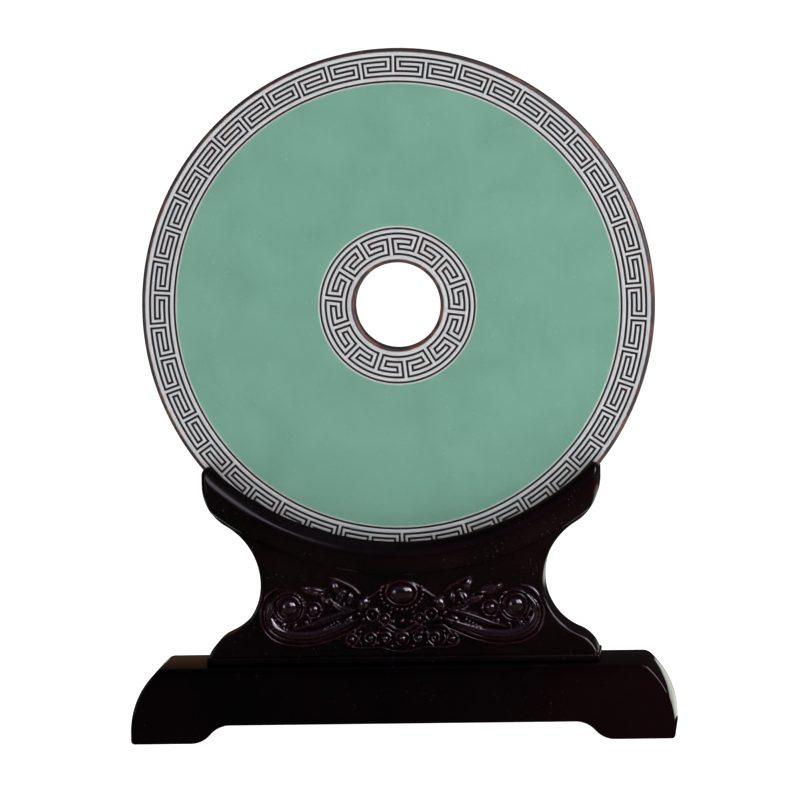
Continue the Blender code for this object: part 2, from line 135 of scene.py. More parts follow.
def cylinder(name: str, centre_z: float, radius: float, near: float, far: float) -> bpy.types.Object:
    """Make a closed cylinder that lies along Y, for cutting.

    Args:
        name: The object's name.
        centre_z: Height of its axis.
        radius: Its radius.
        near: The y where it starts.
        far: The y where it ends.

    Returns:
        The cylinder.
    """
    bm = bmesh.new()
    place = Matrix.Translation((0, (near + far) / 2, centre_z)) @ Matrix.Rotation(math.pi / 2, 4, "X")
    bmesh.ops.create_cone(bm, cap_ends=True, segments=ROUND_STEPS, radius1=radius, radius2=radius,
                          depth=far - near, matrix=place)
    return make_piece(name, bm)


def unit_grid(across: int, up: int) -> tuple[bmesh.types.BMesh, list[bmesh.types.BMVert], np.ndarray]:
    """Start a mesh as a flat grid.

    Args:
        across: Cells along X.
        up: Cells along Y.

    Returns:
        The mesh, its points, and their places in the grid, from -1 to 1 each way.
    """
    bm = bmesh.new()
    verts = bmesh.ops.create_grid(bm, x_segments=across, y_segments=up, size=1.0)["verts"]
    flat = np.array([vert.co for vert in verts])
    return bm, verts, flat / np.abs(flat).max(axis=0).clip(1e-9)


def extrude_loop(bm: bmesh.types.BMesh, edges: Edges) -> tuple[set[bmesh.types.BMVert], Edges]:
    """Extrude an open loop of edges in place.

    Args:
        bm: The mesh.
        edges: The loop.

    Returns:
        The new loop's points and its edges.
    """
    made = bmesh.ops.extrude_edge_only(bm, edges=edges)["geom"]
    verts = {item for item in made if isinstance(item, bmesh.types.BMVert)}
    loop = [item for item in made if isinstance(item, bmesh.types.BMEdge) and set(item.verts) <= verts]
    return verts, loop


def close_behind(bm: bmesh.types.BMesh, back_y: float) -> None:
    """Turn an open sheet into a solid with a flat back.

    Args:
        bm: The sheet's mesh.
        back_y: The flat back's y.
    """
    back, loop = extrude_loop(bm, [edge for edge in bm.edges if edge.is_boundary])
    for vert in back:
        vert.co.y = back_y
    bmesh.ops.holes_fill(bm, edges=loop, sides=0)


def declare(piece: bpy.types.Object, nodes: list[str]) -> None:
    """Say what a piece rides on and which nodes it stands for, and hide those nodes.

    Args:
        piece: The finished piece.
        nodes: The CAD nodes that it replaces.
    """
    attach(piece, BODY)
    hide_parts(*nodes)
    log.info("%s: %d faces", piece.name, len(piece.data.polygons))


class OutlinePen:
    """Draws an outline in a plane that faces the viewer, as a chain of straight and round edges."""

    def __init__(self, x: float, z: float) -> None:
        """Put the pen down.

        Args:
            x: Where the outline starts, to the right.
            z: Where the outline starts, upwards.
        """
        self.bm = bmesh.new()
        self.tip = bmesh.ops.create_vert(self.bm, co=(x, 0, z))["vert"][0]

    def line(self, x: float, z: float) -> None:
        """Draw a straight edge.

        Args:
            x: Where it ends, to the right.
            z: Where it ends, upwards.
        """
        self.tip = bmesh.ops.extrude_vert_indiv(self.bm, verts=[self.tip])["verts"][0]
        self.tip.co = (x, 0, z)

    def arc(self, centre: Point, turn: float, step: float = math.radians(3)) -> None:
        """Draw a round edge.

        Args:
            centre: The arc's centre (x, z).
            turn: The angle it covers, positive from +X towards +Z.
            step: The angle of one short edge, at most.
        """
        count = max(1, math.ceil(abs(turn) / step))
        swept = bmesh.ops.spin(self.bm, geom=[self.tip], cent=(centre[0], 0, centre[1]), axis=(0, 1, 0),
                               angle=-turn, steps=count, use_duplicate=False)
        self.tip = next(item for item in swept["geom_last"] if isinstance(item, bmesh.types.BMVert))

    def points(self) -> list[Point]:
        """Return the points (x, z) drawn so far, in order."""
        self.bm.verts.ensure_lookup_table()
        return [(vert.co.x, vert.co.z) for vert in self.bm.verts]

    def mirrored_face(self) -> bmesh.types.BMesh:
        """Mirror the half outline at x = 0 and fill it with one flat face.

        Returns:
            The mesh that holds the face.
        """
        bmesh.ops.mirror(self.bm, geom=self.bm.verts[:] + self.bm.edges[:], axis="X", merge_dist=MERGE)
        bmesh.ops.remove_doubles(self.bm, verts=self.bm.verts[:], dist=MERGE)
        bmesh.ops.contextual_create(self.bm, geom=self.bm.edges[:])
        return self.bm


def thicken(bm: bmesh.types.BMesh, depth: float) -> None:
    """Extrude a flat outline to a solid that is centred on y = 0.

    Args:
        bm: The mesh with the flat face.
        depth: Its depth along Y.
    """
    bmesh.ops.translate(bm, verts=bm.verts[:], vec=(0, -depth / 2, 0))
    moved = bmesh.ops.extrude_face_region(bm, geom=bm.faces[:])["geom"]
    shift = [item for item in moved if isinstance(item, bmesh.types.BMVert)]
    bmesh.ops.translate(bm, verts=shift, vec=(0, depth, 0))
    bmesh.ops.recalc_face_normals(bm, faces=bm.faces[:])
    bm.normal_update()


def round_rims(bm: bmesh.types.BMesh, depth: float, width: float, segments: int = 5) -> None:
    """Round the edges round the front and the back face of a thick outline.

    Args:
        bm: The mesh.
        depth: The solid's depth along Y.
        width: The rounding's width.
        segments: Its number of steps.
    """
    half = depth / 2
    rims = [edge for edge in bm.edges
            if all(abs(abs(vert.co.y) - half) < MERGE for vert in edge.verts)
            and edge.verts[0].co.y * edge.verts[1].co.y > 0]
    bmesh.ops.bevel(bm, geom=rims, offset=width, offset_type="OFFSET", affect="EDGES", segments=segments,
                    profile=0.5, material=-1, clamp_overlap=False)


class NodeSketch:
    """A node tree, drawn with a few short calls."""

    def __init__(self, tree: bpy.types.NodeTree, coordinates: str) -> None:
        """Start on a tree.

        Args:
            tree: The tree.
            coordinates: The coordinates that its patterns follow.
        """
        self.tree = tree
        self.place = tree.nodes.new("ShaderNodeTexCoord").outputs[coordinates]

    def feed(self, target: Socket, value: object) -> None:
        """Link a socket to another, or set its own value.

        Args:
            target: The socket that is fed.
            value: Another socket, or a plain value.
        """
        if isinstance(value, bpy.types.NodeSocket):
            self.tree.links.new(value, target)
        else:
            target.default_value = value

    def moved(self, shift: Triple = (0, 0, 0), scale: Triple = (1, 1, 1), turn: Triple = (0, 0, 0)) -> Socket:
        """Shift, turn and scale the coordinates.

        Args:
            shift: The shift in metres, after scaling.
            scale: The scale along each axis.
            turn: The turn about each axis, in radians.

        Returns:
            The moved coordinates.
        """
        node = self.tree.nodes.new("ShaderNodeMapping")
        node.inputs["Location"].default_value = shift
        node.inputs["Rotation"].default_value = turn
        node.inputs["Scale"].default_value = scale
        self.tree.links.new(self.place, node.inputs["Vector"])
        return node.outputs["Vector"]

    def axes(self) -> tuple[Socket, Socket, Socket]:
        """Split the coordinates.

        Returns:
            Their x, y and z.
        """
        split = self.tree.nodes.new("ShaderNodeSeparateXYZ")
        self.tree.links.new(self.place, split.inputs[0])
        return split.outputs["X"], split.outputs["Y"], split.outputs["Z"]

    def noise(self, scale: float, detail: float, place: Socket | None = None,
              distortion: float = 0.0) -> Socket:
        """Add a soft noise.

        Args:
            scale: Patches to a metre.
            detail: Octaves.
            place: Coordinates, or None for the sketch's own.
            distortion: How much the noise bends itself.

        Returns:
            The noise, from about 0.25 to 0.75.
        """
        node = self.tree.nodes.new("ShaderNodeTexNoise")
        node.inputs["Scale"].default_value = scale
        node.inputs["Detail"].default_value = detail
        node.inputs["Distortion"].default_value = distortion
        self.tree.links.new(place or self.place, node.inputs["Vector"])
        return node.outputs["Fac"]

    def math(self, operation: str, first: object, second: object = 0.0, third: object = 0.0) -> Socket:
        """Add a sum of numbers.

        Args:
            operation: The node's operation.
            first: The first number or socket.
            second: The second number or socket.
            third: The third number or socket.

        Returns:
            The result.
        """
        node = self.tree.nodes.new("ShaderNodeMath")
        node.operation = operation
        for target, value in zip(node.inputs, (first, second, third)):
            self.feed(target, value)
        return node.outputs["Value"]

    def span(self, value: Socket, low: float, high: float, to_low: float = 0.0, to_high: float = 1.0,
             smooth: bool = True) -> Socket:
        """Map a stretch of values to another, and hold it at the ends.

        Args:
            value: The value.
            low: Where the stretch starts.
            high: Where it ends.
            to_low: The result at its start.
            to_high: The result at its end.
            smooth: Whether it eases in and out.

        Returns:
            The mapped value.
        """
        node = self.tree.nodes.new("ShaderNodeMapRange")
        node.interpolation_type = "SMOOTHSTEP" if smooth else "LINEAR"
        numbers = {"From Min": low, "From Max": high, "To Min": to_low, "To Max": to_high}
        for name, number in numbers.items():
            node.inputs[name].default_value = number
        self.tree.links.new(value, node.inputs["Value"])
        return node.outputs["Result"]

    def ramp(self, factor: Socket, stops: list[tuple[float, Colour]]) -> Socket:
        """Turn a factor into a colour.

        Args:
            factor: The factor, from 0 to 1.
            stops: Positions and their colours.

        Returns:
            The colour.
        """
        node = self.tree.nodes.new("ShaderNodeValToRGB")
        elements = node.color_ramp.elements
        elements[0].position, elements[0].color = stops[0]
        elements[1].position, elements[1].color = stops[-1]
        for position, colour in stops[1:-1]:
            elements.new(position).color = colour
        self.tree.links.new(factor, node.inputs["Fac"])
        return node.outputs["Color"]

    def mix(self, factor: object, low: object, high: object) -> Socket:
        """Mix two colours.

        Args:
            factor: How much of the second one.
            low: The first colour.
            high: The second colour.

        Returns:
            The mixed colour.
        """
        node = self.tree.nodes.new("ShaderNodeMix")
        node.data_type = "RGBA"
        self.feed(node.inputs["Factor"], factor)
        self.feed(node.inputs[6], low)
        self.feed(node.inputs[7], high)
        return node.outputs[2]

    def bump(self, height: Socket, distance: float, strength: float, under: Socket | None = None) -> Socket:
        """Add a bump.

        Args:
            height: The height, from 0 to 1.
            distance: What a height of 1 measures, in metres.
            strength: How much of it shows.
            under: Another bump below this one.

        Returns:
            The bent normal.
        """
        node = self.tree.nodes.new("ShaderNodeBump")
        node.inputs["Distance"].default_value = distance
        node.inputs["Strength"].default_value = strength
        self.tree.links.new(height, node.inputs["Height"])
        if under is not None:
            self.tree.links.new(under, node.inputs["Normal"])
        return node.outputs["Normal"]


class ShaderSketch(NodeSketch):
    """A material, drawn with a few short calls."""

    def __init__(self, name: str) -> None:
        """Start a material.

        Args:
            name: The material's name.
        """
        self.material = bpy.data.materials.new(name)
        self.material.use_nodes = True
        super().__init__(self.material.node_tree, "Object")
        self.shader = self.tree.nodes["Principled BSDF"]

    def set(self, **values: object) -> None:
        """Feed the shader's own sockets, named with underscores for spaces."""
        for name, value in values.items():
            self.feed(self.shader.inputs[name.replace("_", " ").title().replace("Ior", "IOR")], value)


@dataclass(frozen=True)
class CeladonGlaze:
    """The disc's finish: a green field, pale bands that carry the frets, dark lines and a dark brown rim with
    a painted copper sheen.
    """

    centre_z: float
    half_depth: float
    hole_edge: float
    field_start: float
    field_end: float
    rim_edge: float
    green: Colour = paint(112, 161, 140)
    green_deep: Colour = paint(108, 157, 136)
    green_thin: Colour = paint(116, 165, 144)
    fleck: Colour = paint(92, 138, 122)
    spark: Colour = paint(146, 186, 170)
    lip: Colour = paint(200, 201, 194)
    ridge: Colour = paint(197, 200, 200)
    ridge_cool: Colour = paint(184, 191, 193)
    ridge_warm: Colour = paint(195, 190, 189)
    line: Colour = paint(36, 32, 34)
    line_warm: Colour = paint(60, 45, 42)
    rim: Colour = paint(62, 48, 48)
    # A lighter copper tone that is a painted sheen, spread at random over the rim and the hole's edge
    rim_painted_sheen: Colour = paint(112, 70, 60)
    widest: float = 0.16
    uneven: float = 0.0006
    field_blur: float = 0.00022
    lip_inside: float = 0.0005
    lip_outside: float = 0.0002
    lip_strength: float = 0.85
    rim_blur: float = 0.0001
    line_top: float = 0.00001
    line_dark: float = 0.00009
    roughness: Point = (0.34, 0.46)
    gloss: float = 0.42

    def radius(self, sketch: ShaderSketch) -> Socket:
        """Measure the distance from the disc's axis, with a slightly uneven edge.

        Args:
            sketch: The material.

        Returns:
            The distance in metres.
        """
        flat = sketch.moved(shift=(0, 0, -self.centre_z), scale=(1, 0, 1))
        node = sketch.tree.nodes.new("ShaderNodeVectorMath")
        node.operation = "LENGTH"
        sketch.tree.links.new(flat, node.inputs[0])
        wobble = sketch.math("MULTIPLY_ADD", sketch.noise(260, 3), self.uneven, -self.uneven / 2)
        return sketch.math("ADD", node.outputs["Value"], wobble)

    def ring_mask(self, sketch: ShaderSketch, radius: Socket, *stops: Point) -> Socket:
        """Make a mask that changes from ring to ring.

        Args:
            sketch: The material.
            radius: The distance from the disc's axis.
            stops: Radii, each with the mask's value there.

        Returns:
            The mask.
        """
        share = sketch.math("MULTIPLY", radius, 1 / self.widest)
        levels = [(0.0, stops[0][1]), *stops, (self.widest, stops[-1][1])]
        return sketch.ramp(share, [(at / self.widest, (level, level, level, 1.0)) for at, level in levels])

    def clouded_green(self, sketch: ShaderSketch) -> Socket:
        """Colour the green field with soft clouds and sparse specks.

        Args:
            sketch: The material.

        Returns:
            The colour.
        """
        clouds = sketch.ramp(sketch.noise(34, 8, distortion=0.5),
                             [(0.34, self.green_deep), (0.5, self.green), (0.66, self.green_thin)])
        flecks = sketch.span(sketch.noise(620, 1), 0.66, 0.74)
        sparks = sketch.span(sketch.noise(480, 1, sketch.moved(shift=(3, 1, 2))), 0.68, 0.76)
        flecked = sketch.mix(sketch.math("MULTIPLY", flecks, 0.35), clouds, self.fleck)
        return sketch.mix(sketch.math("MULTIPLY", sparks, 0.3), flecked, self.spark)

    def build(self) -> bpy.types.Material:
        """Build the material.

        Returns:
            The finished glaze.
        """
        sketch = ShaderSketch("celadon_glaze")
        radius = self.radius(sketch)
        start, end = self.field_start, self.field_end
        tones = sketch.noise(170, 3)
        ridges = sketch.ramp(tones, [(0.3, self.ridge_cool), (0.47, self.ridge), (0.7, self.ridge_warm)])
        in_field = self.ring_mask(sketch, radius, (start - self.field_blur, 0), (start + self.field_blur, 1),
                                  (end - self.field_blur, 1), (end + self.field_blur, 0))
        on_lip = self.ring_mask(sketch, radius, (start - 2 * self.lip_inside, 0),
                                (start - self.lip_outside, 1), (start + self.lip_inside, 0),
                                (end - self.lip_inside, 0), (end + self.lip_outside, 1),
                                (end + 2 * self.lip_inside, 0))
        on_rim = self.ring_mask(sketch, radius, (self.hole_edge - self.rim_blur, 1),
                                (self.hole_edge + self.rim_blur, 0), (self.rim_edge - self.rim_blur, 0),
                                (self.rim_edge + self.rim_blur, 1))
        colour = sketch.mix(in_field, ridges, self.clouded_green(sketch))
        colour = sketch.mix(sketch.math("MULTIPLY", on_lip, self.lip_strength), colour, self.lip)
        depth = sketch.math("SUBTRACT", self.half_depth, sketch.math("ABSOLUTE", sketch.axes()[1]))
        lines = sketch.mix(sketch.noise(90, 2), self.line, self.line_warm)
        colour = sketch.mix(sketch.span(depth, self.line_top, self.line_dark), colour, lines)
        # The rim and the hole's edge: dark brown glaze, mixed at random with the painted copper sheen
        rims = sketch.mix(sketch.span(sketch.noise(75, 4), 0.45, 0.7), self.rim, self.rim_painted_sheen)
        colour = sketch.mix(on_rim, colour, rims)
        swell = sketch.bump(sketch.noise(60, 2), 0.0004, 0.25)
        sketch.set(base_color=colour, normal=sketch.bump(sketch.noise(900, 2), 0.00006, 0.35, swell),
                   roughness=sketch.span(tones, 0.3, 0.7, *self.roughness), specular_ior_level=self.gloss)
        return sketch.material


@dataclass(frozen=True)
class Lacquer:
    """The stand's finish: deep gloss over nearly black, red-brown wood, with fine grain, a little dust and
    painted light that reddens it towards the right.
    """

    name: str
    dark: Colour = paint(4, 2, 2)
    warm: Colour = paint(27, 9, 10)
    # Where the painted light from the right starts and where it is full, along X in metres
    lit_side_from: float = 0.02
    lit_side_to: float = 0.16
    cloudy: float = 0.35
    grain_turn: float = 0.0
    ridge_attribute: str = ""
    ridge_colour: Colour = paint(50, 11, 20)
    gloss: float = 0.37
    index: float = 1.5
    glint: Colour = (0.92, 0.84, 1.0, 1.0)
    polish: Point = (0.16, 0.26)
    dust: Colour = paint(150, 140, 135)
    dusty: float = 0.16

    def wood(self, sketch: ShaderSketch, grain: Socket) -> Socket:
        """Colour the wood: nearly black, redder round carved forms, and redder towards the right as painted
        light from that side.

        Args:
            sketch: The material.
            grain: The grain's pattern.

        Returns:
            The colour.
        """
        # Painted light: the wood turns redder towards the right, the side the light falls from
        side = sketch.span(sketch.axes()[0], self.lit_side_from, self.lit_side_to)
        clouds = sketch.span(sketch.noise(30, 5), 0.35, 0.75, 0.0, self.cloudy)
        streaks = sketch.math("MULTIPLY_ADD", sketch.span(grain, 0.42, 0.68), 0.15, 0.85)
        warmth = sketch.math("MULTIPLY", sketch.math("MULTIPLY_ADD", side, 0.55, clouds), streaks)
        colour = sketch.mix(warmth, self.dark, self.warm)
        if self.ridge_attribute:
            ridge = sketch.tree.nodes.new("ShaderNodeAttribute")
            ridge.attribute_name = self.ridge_attribute
            foot = sketch.span(ridge.outputs["Fac"], 0.03, 0.35)
            crown = sketch.span(ridge.outputs["Fac"], 0.35, 0.80, 0.55, 0.10)
            colour = sketch.mix(sketch.math("MULTIPLY", foot, crown), colour, self.ridge_colour)
        return colour

    def build(self) -> bpy.types.Material:
        """Build the material.

        Returns:
            The finished lacquer.
        """
        sketch = ShaderSketch(self.name)
        along = sketch.moved(scale=(6, 60, 60), turn=(0, self.grain_turn, 0))
        grain = sketch.noise(9, 6, along, distortion=0.6)
        patches = sketch.span(sketch.noise(18, 3, sketch.moved(shift=(5, 2, 7))), 0.42, 0.62)
        specks = sketch.math("MULTIPLY", sketch.span(sketch.noise(800, 1), 0.72, 0.79), patches)
        colour = sketch.mix(sketch.math("MULTIPLY", specks, self.dusty), self.wood(sketch, grain), self.dust)
        swell = sketch.bump(sketch.noise(22, 2), 0.0008, 0.22)
        worn = sketch.span(sketch.noise(45, 4), 0.3, 0.7, *self.polish)
        sketch.set(base_color=colour, normal=sketch.bump(grain, 0.00005, 0.3, swell),
                   roughness=sketch.math("MULTIPLY_ADD", specks, 0.25, worn), ior=self.index,
                   specular_tint=self.glint, specular_ior_level=self.gloss)
        return sketch.material


@dataclass
class FretBand:
    """One ring of keys: a line that winds between five rings, sunk in the disc's pale glaze."""

    pairs: int
    first_ring: float
    last_ring: float
    column: float
    turn: float
    border: float
    inner_edge: float
    outer_edge: float
    line_width: float = 0.00150
    border_width: float = 0.00135
    span_cells: int = 4

    # Strokes of half a pair of keys: first and last column, first and last ring
    STROKES: ClassVar[tuple[tuple[int, int, int, int], ...]] = (
        (0, 0, 1, 4), (0, 2, 1, 1), (2, 2, 1, 2), (1, 2, 2, 2), (1, 1, 2, 3), (1, 3, 3, 3), (3, 3, 0, 3),
        (0, 3, 0, 0), (0, 3, 4, 4))
    # Steps down into a line: how far in and how far down, as shares of its width and its depth
    STEPS: ClassVar[tuple[Point, ...]] = ((0.10, 0.14), (0.07, 0.56), (0.08, 0.30))

    def ring_edges(self) -> list[float]:
        """List the radii where the rings start and end.

        Returns:
            The radii, from the axis outwards.
        """
        half = self.line_width / 2
        edges = [self.inner_edge, self.outer_edge]
        for number in range(5):
            ring = self.first_ring + (self.last_ring - self.first_ring) * number / 4
            edges += [ring - half, ring + half]
        edges += [self.border - self.border_width / 2, self.border + self.border_width / 2]
        return sorted(edges)

    def columns(self) -> list[Point]:
        """Lay out the column lines of one period.

        Returns:
            Each line's angle, and a sideways offset that stays the same along it.
        """
        half = self.line_width / 2
        near = [share * self.column + edge for share in (0.5, 1.5) for edge in (-half, half)]
        half_turn = math.pi / self.pairs
        right = [(0.0, offset) for offset in near]
        for number in range(1, self.span_cells):
            share = number / self.span_cells
            right.append((half_turn * share, near[-1] * (1 - 2 * share)))
        right += [(half_turn, -offset) for offset in reversed(near)]
        return right + [(2 * half_turn - angle, -offset) for angle, offset in reversed(right)]

    def sunk_cells(self) -> set[tuple[int, int]]:
        """Find the cells of one period that belong to a line.

        Returns:
            Their columns and rows.
        """
        edges = self.ring_edges()
        half = self.line_width / 2
        step = (self.last_ring - self.first_ring) / 4
        rows = [edges.index(min(edges, key=lambda edge: abs(edge - (self.first_ring + step * number - half))))
                for number in range(5)]
        border = edges.index(self.border - self.border_width / 2)
        places = [0, 2, self.span_cells + 3, self.span_cells + 5]
        last = 2 * (self.span_cells + 7) - 1
        cells = {(column, border) for column in range(last + 1)}
        for start, end, low, high in self.STROKES:
            for column in range(places[start], places[end] + 1):
                for row in range(rows[low], rows[high] + 1):
                    cells |= {(column, row), (last - 1 - column, row)}
        return cells | {(last, rows[0]), (self.span_cells + 6, rows[4])}

    def build(self, bm: bmesh.types.BMesh, centre_z: float, y: float, depth: float) -> None:
        """Add the band to the disc's face, with its lines sunk.

        Args:
            bm: The disc's mesh.
            centre_z: Height of the disc's axis.
            y: The face's y.
            depth: How deep the lines are.
        """
        edges = self.ring_edges()
        period = self.columns()
        across, up = len(period) * self.pairs, len(edges) - 1
        first_face = len(bm.faces)
        verts = bmesh.ops.create_grid(bm, x_segments=across, y_segments=up, size=1.0)["verts"]
        bm.faces.ensure_lookup_table()
        low = min(vert.co.x for vert in verts)
        high = max(vert.co.x for vert in verts)
        cells = self.sunk_cells()
        sunk = []
        for face in bm.faces[first_face:]:
            middle = face.calc_center_median()
            column = int((middle.x - low) / (high - low) * across) % len(period)
            row = int((middle.y - low) / (high - low) * up)
            if (column, row) in cells:
                sunk.append(face)
        for vert in verts:
            number = round((vert.co.x - low) / (high - low) * across)
            radius = edges[round((vert.co.y - low) / (high - low) * up)]
            angle, offset = period[number % len(period)]
            angle += self.turn + 2 * math.pi / self.pairs * (number // len(period)) + offset / radius
            vert.co = (radius * math.sin(angle), y, centre_z + radius * math.cos(angle))
        bmesh.ops.remove_doubles(bm, verts=verts, dist=MERGE)
        bm.normal_update()
        sunk = [face for face in sunk if face.is_valid]
        for thickness, drop in self.STEPS:
            bmesh.ops.inset_region(bm, faces=sunk, thickness=thickness * self.line_width, depth=-drop * depth,
                                   use_boundary=True, use_even_offset=True)


@dataclass
class BiDisc:
    """The glazed disc: two fret bands, a plain field between them, a rounded rim and the round hole."""

    node: str = "bi_disc"
    slot: str = "disc_glaze"
    hole_radius: float = 0.025
    hole_edge: float = 0.0272
    rim_edge: float = 0.1479
    field_start: float = 0.0462
    field_end: float = 0.1296
    line_depth: float = 0.0008
    back_line_share: float = 0.6
    inner_band: FretBand = field(default_factory=lambda: FretBand(
        pairs=7, first_ring=0.0301, last_ring=0.0421, column=0.0030, turn=math.radians(20), border=0.0451,
        inner_edge=0.0272, outer_edge=0.0466))
    outer_band: FretBand = field(default_factory=lambda: FretBand(
        pairs=23, first_ring=0.1340, last_ring=0.1451, column=0.00275, turn=0.0, border=0.13075,
        inner_edge=0.1292, outer_edge=0.1479))

    def __post_init__(self) -> None:
        """Take the place and the outer size from the frame."""
        low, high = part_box(self.node)
        self.centre_z = (low.z + high.z) / 2
        self.radius = (high.z - low.z) / 2
        self.half_depth = (high.y - low.y) / 2

    def reach(self, vert: bmesh.types.BMVert) -> float:
        """Return a point's distance from the disc's axis."""
        return math.hypot(vert.co.x, vert.co.z - self.centre_z)

    def loop_at(self, bm: bmesh.types.BMesh, radius: float, y: float) -> Edges:
        """Find the open loop of edges at a radius and a depth.

        Args:
            bm: The disc's mesh.
            radius: Distance from the axis.
            y: The loop's y.

        Returns:
            Its edges.
        """
        return [edge for edge in bm.edges if edge.is_boundary
                and all(abs(self.reach(vert) - radius) < NEAR and abs(vert.co.y - y) < NEAR
                        for vert in edge.verts)]

    def turn_on(self, bm: bmesh.types.BMesh, edges: Edges, profile: list[Point]) -> Edges:
        """Carry an open loop along a profile, as a lathe would.

        Args:
            bm: The disc's mesh.
            edges: The open loop.
            profile: The next rings, each as a radius and a y.

        Returns:
            The last open loop.
        """
        for radius, y in profile:
            verts, edges = extrude_loop(bm, edges)
            for vert in verts:
                share = radius / self.reach(vert)
                vert.co = (vert.co.x * share, y, self.centre_z + (vert.co.z - self.centre_z) * share)
        return edges

    def corner(self, edge: float, wall: float, y: float, steps: int = 6) -> list[Point]:
        """Round the corner from a face to a wall.

        Args:
            edge: Radius where the face ends.
            wall: Radius of the wall.
            y: The face's y.
            steps: Number of steps.

        Returns:
            The rings that follow the face's edge.
        """
        size = abs(wall - edge)
        side = 1 if y > 0 else -1
        points = []
        for number in range(1, steps + 1):
            turn = math.pi / 2 * number / steps
            points.append((edge + (wall - edge) * math.sin(turn), y - side * size * (1 - math.cos(turn))))
        return points

    def back_line(self, radius: float) -> list[Point]:
        """Shape a shallow line on the back.

        Args:
            radius: Its distance from the axis.

        Returns:
            Its rings, from the axis outwards.
        """
        half, y = self.inner_band.border_width / 2, self.half_depth
        low = y - self.back_line_share * self.line_depth
        return [(radius - half, y), (radius - half / 2, low), (radius + half / 2, low), (radius + half, y)]

    def shape(self) -> bmesh.types.BMesh:
        """Model the disc as one closed solid.

        Returns:
            Its mesh.
        """
        bm = bmesh.new()
        front, back = -self.half_depth, self.half_depth
        for band in (self.inner_band, self.outer_band):
            band.build(bm, self.centre_z, front, self.line_depth)
        starts = (self.loop_at(bm, self.inner_band.outer_edge, front),
                  self.loop_at(bm, self.outer_band.inner_edge, front))
        hole = self.loop_at(bm, self.hole_edge, front)
        rim = self.loop_at(bm, self.rim_edge, front)
        bmesh.ops.bridge_loops(bm, edges=starts[0] + starts[1])
        wall = self.corner(self.hole_edge, self.hole_radius, front)
        profile = wall + self.corner(self.hole_edge, self.hole_radius, back)[::-1] + [(self.hole_edge, back)]
        profile += self.back_line(self.inner_band.border) + [(self.inner_band.outer_edge, back)]
        inside = self.turn_on(bm, hole, profile)
        wall = self.corner(self.rim_edge, self.radius, front)
        profile = wall + self.corner(self.rim_edge, self.radius, back)[::-1] + [(self.rim_edge, back)]
        profile += self.back_line(self.outer_band.border)[::-1] + [(self.outer_band.inner_edge, back)]
        outside = self.turn_on(bm, rim, profile)
        bmesh.ops.bridge_loops(bm, edges=inside + outside)
        return bm

    def build(self) -> bpy.types.Object:
        """Returns:
            The finished piece.
        """
        piece = make_piece("glazed_disc", self.shape(), math.radians(50))
        glaze = CeladonGlaze(self.centre_z, self.half_depth, self.hole_edge, self.field_start,
                             self.field_end, self.rim_edge)
        piece.data.materials.append(glaze.build())
        piece.visible_glossy = False
        declare(piece, [self.node])
        return piece


@dataclass
class BaseBoard:
    """The long plank under the stand, with curved ends and two low feet."""

    node: str = "base_board"
    slot: str = "base_lacquer"
    end_radius: float = 0.048
    end_start: float = 0.007
    foot_length: float = 0.035
    slope_length: float = 0.023
    foot_height: float = 0.0105
    knee_round: float = 0.0075
    toe_round: float = 0.0022
    edge_round: float = 0.0016

    def __post_init__(self) -> None:
        """Take the outer size from the frame."""
        low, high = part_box(self.node)
        self.half_length = (high.x - low.x) / 2
        self.depth = high.y - low.y
        self.height = high.z

    def outline(self) -> bmesh.types.BMesh:
        """Draw the front outline and fill it.

        Returns:
            The flat outline.
        """
        inner = self.half_length - self.foot_length
        half_run, half_rise = self.slope_length / 2, self.foot_height / 2
        curve = (half_run ** 2 + half_rise ** 2) / (2 * half_rise)
        turn = math.asin(half_run / curve)
        pen = OutlinePen(0.0, self.foot_height)
        pen.line(inner - self.slope_length, self.foot_height)
        pen.arc((inner - self.slope_length, self.foot_height - curve), -turn, math.radians(5))
        pen.arc((inner, curve), turn, math.radians(5))
        toe_x = self.half_length - self.toe_round
        pen.line(toe_x, 0.0)
        pen.arc((toe_x, self.toe_round), math.pi / 2, math.radians(9))
        pen.line(self.half_length, self.end_start)
        end_x, knee_z = self.half_length - self.end_radius, self.height - self.knee_round
        reach, climb = self.end_radius - self.knee_round, knee_z - self.end_start
        knee_x = end_x + math.sqrt(reach ** 2 - climb ** 2)
        rise = math.atan2(climb, knee_x - end_x)
        pen.arc((end_x, self.end_start), rise)
        pen.arc((knee_x, knee_z), math.pi / 2 - rise, math.radians(6))
        pen.line(0.0, self.height)
        return pen.mirrored_face()

    def build(self) -> bpy.types.Object:
        """Returns:
            The finished piece.
        """
        bm = self.outline()
        thicken(bm, self.depth)
        round_rims(bm, self.depth, self.edge_round)
        piece = make_piece("footed_base", bm)
        lacquer = Lacquer("base_lacquer", dark=paint(1, 1, 2), warm=paint(22, 6, 8), gloss=0.25,
                          polish=(0.02, 0.05), dusty=0.06, cloudy=0.18)
        piece.data.materials.append(lacquer.build())
        declare(piece, [self.node])
        return piece


@dataclass(frozen=True)
class Swell:
    """A carved swelling: a boss, bead or leaf, longer along its own direction."""

    x: float
    z: float
    long: float
    wide: float
    rise: float
    lean: float = 0.0
    point: float = 2.0
    vein: float = 0.0

    def height(self, x: np.ndarray, z: np.ndarray) -> np.ndarray:
        """Measure the swelling's height over points of the panel.

        Args:
            x: The points' distances from the middle.
            z: Their heights over the panel's foot.

        Returns:
            The heights, 0 outside the swelling.
        """
        turn = math.radians(self.lean)
        along = (x - self.x) * math.cos(turn) + (z - self.z) * math.sin(turn)
        across = (z - self.z) * math.cos(turn) - (x - self.x) * math.sin(turn)
        reach = np.abs(along / self.long) ** self.point + np.abs(across / self.wide) ** 2
        body = self.rise * np.sqrt(np.clip(1 - reach, 0, None))
        return body * (1 - self.vein * np.exp(-(across / (0.22 * self.wide)) ** 2))


